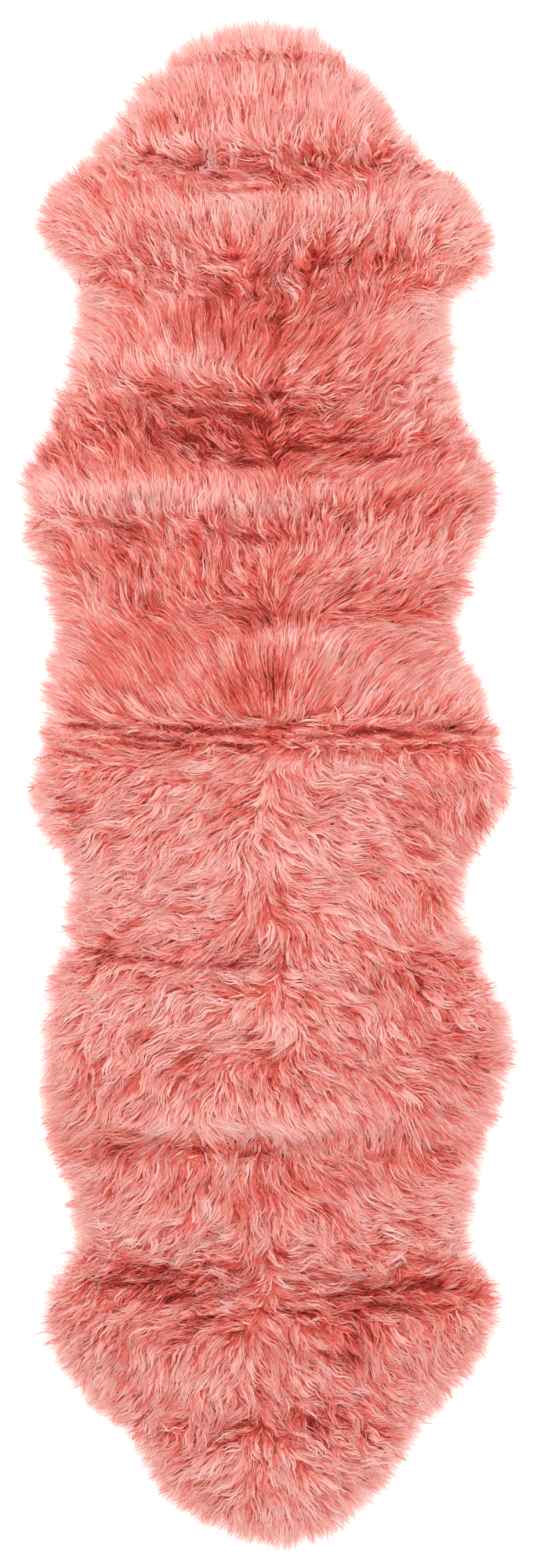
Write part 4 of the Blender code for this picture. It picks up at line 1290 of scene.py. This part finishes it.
def wool_material():
    """Dyed wool, its tones also holding painted shade and highlight. The map's lanes hold the
    tones, each lane a lock of hairs side by side.
    """
    material, tree, shader = new_material("wool_dye_and_painted_light", 0.55, specular=0.15)
    uv = tree.nodes.new("ShaderNodeUVMap")
    uv.uv_map = "OFBake"
    split = tree.nodes.new("ShaderNodeSeparateXYZ")
    tree.links.new(uv.outputs["UV"], split.inputs[0])
    lanes = maths(tree, "MULTIPLY", split.outputs["X"], LANES)
    from_root = split.outputs["Y"]

    hairs_at = tree.nodes.new("ShaderNodeCombineXYZ")
    tree.links.new(maths(tree, "MULTIPLY", lanes, HAIRS_ACROSS), hairs_at.inputs[0])
    tree.links.new(maths(tree, "MULTIPLY", from_root, HAIRS_ALONG), hairs_at.inputs[1])
    hairs = node(tree, "ShaderNodeTexNoise", Scale=1.0, Detail=3.0, Roughness=0.75)
    tree.links.new(hairs_at.outputs[0], hairs.inputs["Vector"])
    hair = hairs.outputs["Fac"]
    tone = maths(tree, "DIVIDE", maths(tree, "FLOOR", lanes), LANES - 1)
    streak = maths(tree, "MULTIPLY", maths(tree, "SUBTRACT", hair, 0.5), STREAKS)
    least = maths(tree, "MINIMUM", tone, STREAK_FLOOR)
    tone = maths(tree, "MAXIMUM", maths(tree, "ADD", tone, streak), least)

    at_root, at_tip = srgb_ramp(tree, tone, ROOT_COLOURS), srgb_ramp(tree, tone, TIP_COLOURS)
    length = ramp(tree, from_root, [(at, grey(share)) for at, share in TIPS_FROM_ROOTS])
    colour = mixed(tree, length, at_root, at_tip)
    # Painted shade: a strand's edges take on the darker colour of its roots, as if round.
    off_middle = maths(tree, "SUBTRACT", maths(tree, "FRACT", lanes), 0.5)
    to_edge = maths(tree, "MULTIPLY", maths(tree, "ABSOLUTE", off_middle), 2.0)
    edge = maths(tree, "MULTIPLY", maths(tree, "POWER", to_edge, 3.0), EDGE_PAINTED_SHADE)
    colour = mixed(tree, edge, colour, at_root)
    add_surface(tree, shader, colour, hair, strength=0.3, distance=0.0003)

    through = tree.nodes.new("ShaderNodeBsdfTranslucent")
    tree.links.new(colour, through.inputs["Color"])
    both = node(tree, "ShaderNodeMixShader", Fac=WOOL_THROUGH)
    tree.links.new(shader.outputs[0], both.inputs[1])
    tree.links.new(through.outputs[0], both.inputs[2])
    tree.links.new(both.outputs[0], tree.nodes["Material Output"].inputs["Surface"])
    return material


def hide_material():
    """Sueded flesh side: soft mottling and a fine nap."""
    material, tree, shader = new_material("suede_hide", 0.85, sheen=0.3, specular=0.2)
    place = tree.nodes.new("ShaderNodeTexCoord").outputs["Object"]
    cloud = node(tree, "ShaderNodeTexNoise", Scale=14.0, Detail=4.0, Roughness=0.6)
    nap = node(tree, "ShaderNodeTexNoise", Scale=900.0, Detail=3.0, Roughness=0.7)
    for source in (cloud, nap):
        tree.links.new(place, source.inputs["Vector"])
    colour = srgb_ramp(tree, cloud.outputs["Fac"], HIDE_COLOURS)
    add_surface(tree, shader, colour, nap.outputs["Fac"], strength=0.35, distance=0.0006)
    return material


def thread_material():
    """Sewing thread with its twisted plies."""
    material, tree, shader = new_material("sewing_thread", 0.7, sheen=0.2, specular=0.3)
    place = tree.nodes.new("ShaderNodeTexCoord").outputs["Object"]
    ply = node(tree, "ShaderNodeTexWave", Scale=420.0, Distortion=1.5)
    tree.links.new(place, ply.inputs["Vector"])
    colour = srgb_ramp(tree, ply.outputs["Fac"], THREAD_COLOURS)
    add_surface(tree, shader, colour, ply.outputs["Fac"], strength=0.4, distance=0.0002)
    return material


def mesh_piece(name, verts, faces, material):
    """A smooth-shaded mesh as a piece of its own."""
    mesh = bpy.data.meshes.new(name)
    mesh.from_pydata([tuple(v) for v in verts], [], [tuple(f) for f in faces])
    mesh.polygons.foreach_set("use_smooth", np.ones(len(mesh.polygons), bool))
    mesh.materials.append(material)
    mesh.update()
    return link(name, mesh)


def triangles_within(ring, inner):
    """Triangles that fill the ring, with corners on it and at the inner points."""
    points = [Vector(p) for p in np.vstack([ring, inner])]
    edge = [list(range(len(ring)))]
    inside_only, precision = 1, 1e-7
    _, _, faces, sources, _, _ = delaunay_2d_cdt(points, [], edge, inside_only, precision)
    return [tuple(sources[corner][0] for corner in face) for face in faces]


def slab(name, ring, inner, top, bottom, material):
    """A closed body over the ring, with top(points) and bottom(points) as its heights."""
    points = np.vstack([ring, inner])
    count = len(points)
    verts = np.vstack(
        [np.column_stack([points, top(points)]), np.column_stack([ring, bottom(ring)])]
    )
    faces = triangles_within(ring, inner)
    faces += [tuple(count + c for c in reversed(f)) for f in triangles_within(ring, inner[:0])]
    for i in range(len(ring)):
        j = (i + 1) % len(ring)
        faces.append((j, i, count + i, count + j))
    return mesh_piece(name, verts, faces, material)


def scattered(pelt, ring, pitch, clear):
    """Points inside the ring, about one pitch apart and clear of the ring by this much."""
    points = staggered(ring, pitch)
    points += pelt.draw.uniform(-SCATTER_JITTER, SCATTER_JITTER, points.shape) * pitch
    near = np.full(len(points), FAR)
    for q in dense(ring, pitch / 2):
        near = np.minimum(near, np.hypot(*(points - q).T))
    return points[is_inside(ring, *points.T) & (near > clear)]


def build_hide(pelt, material):
    ring = dense(pelt.outline, HIDE_RING)
    inner = scattered(pelt, ring, HIDE_PITCH, HIDE_CLEAR)

    def waves(points):
        u, v = (points * HIDE_WAVE_RATES).T
        return HIDE_WAVES * (1 + np.sin(u) * np.cos(v))

    def top(points):
        return HIDE_THICKNESS + waves(points)

    return slab(f"hide_{pelt.name}", ring, inner, top, waves, material)


def build_underwool(pelt, material):
    """The dense wool under the locks, which hides the hide between them."""
    ring = dense(pelt.outline, UNDERWOOL_RING)
    at_seam = abs(ring[:, 1] - pelt.seam_y) < SEAM_NEAR
    ring[at_seam, 1] -= pelt.neck_side * SEAM_LAP
    inner = scattered(pelt, ring, UNDERWOOL_PITCH, UNDERWOOL_CLEAR)

    def top(points):
        height = pelt.grid.read(pelt.height, points)
        depth = np.maximum(pelt.grid.read(pelt.depth, points), 0)
        fall = UNDERWOOL_FALL * smoothstep(1 - depth / UNDERWOOL_FALL_WIDE)
        lumps = UNDERWOOL_LUMPS * value_noise(*points.T, UNDERWOOL_LUMP_SIZE, pelt.draw)
        return np.maximum(height - (UNDERWOOL_BELOW + fall) + lumps, UNDERWOOL_LEAST)

    def bottom(points):
        return np.full(len(points), UNDERWOOL_BOTTOM)

    piece = slab(f"underwool_{pelt.name}", ring, inner, top, bottom, material)
    lay_in_lanes(pelt, piece.data)
    return piece


def lay_in_lanes(pelt, mesh):
    """Maps each face of the underwool into the lane of the wool's tone there, darkened as painted
    shade under the locks, near the strands' roots."""
    layer = mesh.uv_layers.new(name="OFBake")
    corners = corners_of(mesh)
    for face in mesh.polygons:
        middle = corners[list(face.vertices)].mean(axis=0)
        tone = float(pelt.grid.read(pelt.tone, middle[:2])) + UNDERWOOL_SHADE
        tone = min(max(0.5 + TONE_GAIN * (tone - 0.5), 0.0), 1.0)
        lane = round(tone * (LANES - 1)) + 0.5
        for loop, (across, forth) in zip(face.loop_indices, UNDERWOOL_CORNERS):
            layer.data[loop].uv = ((lane + across) / LANES, forth)


def build_fleece(pelt, material):
    """The strands, split into three pieces along the spine."""
    locks = Locks(pelt, lock_roots(pelt), LOCK_LENGTH, RIM_SHORTER)
    groups = [strands_of(pelt, locks, BODY)]
    for _ in range(COVER_ROUNDS):
        roots = thin_spots(pelt, np.vstack([paths for paths, *_ in groups]))
        groups.append(strands_of(pelt, Locks(pelt, roots, LOCK_LENGTH, RIM_SHORTER), BODY))
    groups.append(strands_of(pelt, locks, HIGHLIGHT_TRESSES))
    over_seam = Locks(pelt, seam_roots(pelt), SEAM_LENGTH, spread=SEAM_SPREAD)
    over_seam.level = pelt.draw.uniform(*SEAM_LEVEL, len(over_seam.roots))
    groups.append(strands_of(pelt, over_seam, BODY))
    wisps = Locks(pelt, wisp_roots(pelt), WISP_LENGTH, spread=WISP_SPREAD)
    groups.append(strands_of(pelt, wisps, WISPS))

    parts = ("rump", "flank", "neck")
    along_spine = [paths[:, 0, 1] * pelt.neck_side for paths, *_ in groups]
    cuts = np.quantile(np.concatenate(along_spine), (1 / 3, 2 / 3))
    pieces = []
    for k, part in enumerate(parts):
        chosen = []
        for group, place in zip(groups, along_spine):
            picked = np.searchsorted(cuts, place) == k
            chosen.append(tuple(values[picked] for values in group))
        pieces.append(ribbons(f"fleece_{pelt.name}_{part}", chosen, material))
    return pieces


def stitch_rings(x, seam):
    """The rings of points round one stitch, which slants and arches across the seam."""
    turns = 2 * math.pi * np.arange(THREAD_SIDES) / THREAD_SIDES
    round_it = np.column_stack([np.cos(turns), 0 * turns, np.sin(turns) * THREAD_FLAT])
    rings = []
    for t in np.linspace(0, 1, STITCH_RINGS):
        middle = (
            x + STITCH_SLANT * (t - 0.5),
            seam + STITCH_SPAN * (t - 0.5),
            STITCH_LOW + STITCH_ARCH * math.sin(math.pi * t),
        )
        rings.append(middle + THREAD_RADIUS * round_it)
    return rings


def build_stitches(material):
    """Overcast stitches that hold the two hides together, on their underside."""
    seam = sum(pelt.seam_y for pelt in PELTS) / 2
    sides = range(THREAD_SIDES)
    last = (STITCH_RINGS - 1) * THREAD_SIDES
    rings, faces = [], []
    for x in np.arange(-STITCHED_HALF, STITCHED_HALF + STITCH_PITCH / 2, STITCH_PITCH):
        base = len(rings) * THREAD_SIDES
        rings += stitch_rings(x, seam)
        for low in range(base, base + last, THREAD_SIDES):
            high = low + THREAD_SIDES
            for k in sides:
                after = (k + 1) % THREAD_SIDES
                faces.append((low + k, low + after, high + after, high + k))
        faces.append(tuple(base + k for k in sides))
        faces.append(tuple(base + last + k for k in reversed(sides)))
    return mesh_piece("seam_stitches", np.vstack(rings), faces, material)


def build_floor():
    material, _, shader = new_material("floor_white", 0.9, specular=0.1)
    shader.inputs["Base Color"].default_value = grey(FLOOR_WHITE)
    shader.inputs["Emission Color"].default_value = grey(1.0)
    shader.inputs["Emission Strength"].default_value = FLOOR_GLOW
    mesh = bpy.data.meshes.new("floor")
    corners = [(-1, -1), (1, -1), (1, 1), (-1, 1)]
    verts = [(x * FLOOR_HALF, y * FLOOR_HALF, 0) for x, y in corners]
    mesh.from_pydata(verts, [], [(0, 1, 2, 3)])
    mesh.materials.append(material)
    link("floor", mesh)


def add_area_light(name, place, size, power):
    """A rectangular lamp that shines on the rug's middle."""
    data = bpy.data.lights.new(name, "AREA")
    data.shape = "RECTANGLE"
    data.size, data.size_y = size
    data.energy = power
    lamp = bpy.data.objects.new(name, data)
    lamp.location = place
    lamp.rotation_mode = "QUATERNION"
    lamp.rotation_quaternion = (-Vector(place)).to_track_quat("-Z", "Y")
    bpy.context.scene.collection.objects.link(lamp)


def build_light():
    world = bpy.data.worlds.new("studio")
    bpy.context.scene.world = world
    world.use_nodes = True
    background = world.node_tree.nodes["Background"]
    background.inputs["Color"].default_value = grey(1.0)
    background.inputs["Strength"].default_value = SKY
    add_area_light("key", (-0.5, 1.5, 3.0), (2.4, 1.6), KEY_POWER)
    add_area_light("fill", (0.8, -1.8, 3.0), (2.4, 2.4), FILL_POWER)


def build_camera():
    data = bpy.data.cameras.new("camera")
    data.sensor_width = SENSOR
    data.lens = SENSOR * CAMERA_HEIGHT / VIEW_HEIGHT
    data.clip_end = 100.0
    camera = bpy.data.objects.new("camera", data)
    camera.location = (*VIEW_CENTRE, CAMERA_HEIGHT)
    bpy.context.scene.collection.objects.link(camera)
    bpy.context.scene.camera = camera


def area_of(ring):
    x, y = ring.T
    return abs(np.dot(x, np.roll(y, -1)) - np.dot(y, np.roll(x, -1))) / 2


PELTS = (
    Pelt("upper", COMB_UPPER, LOOK_UPPER, neck_side=1, seed=101),
    Pelt("lower", COMB_LOWER, LOOK_LOWER, neck_side=-1, seed=202),
)
wool = wool_material()
suede = hide_material()
thread = thread_material()

for pelt in PELTS:
    hide = build_hide(pelt, suede)
    soft = [build_underwool(pelt, wool)] + build_fleece(pelt, wool)
    for piece, slot in [(hide, "hide")] + [(piece, "wool") for piece in soft]:
        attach(piece, "root")
        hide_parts(pelt.node)
    width, length = np.ptp(pelt.outline, axis=0)
    float(area_of(pelt.outline))
stitches = build_stitches(thread)
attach(stitches, "root")
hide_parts(*(pelt.node for pelt in PELTS))

build_floor()
build_light()
build_camera()
bpy.context.scene.view_settings.view_transform = "Standard"
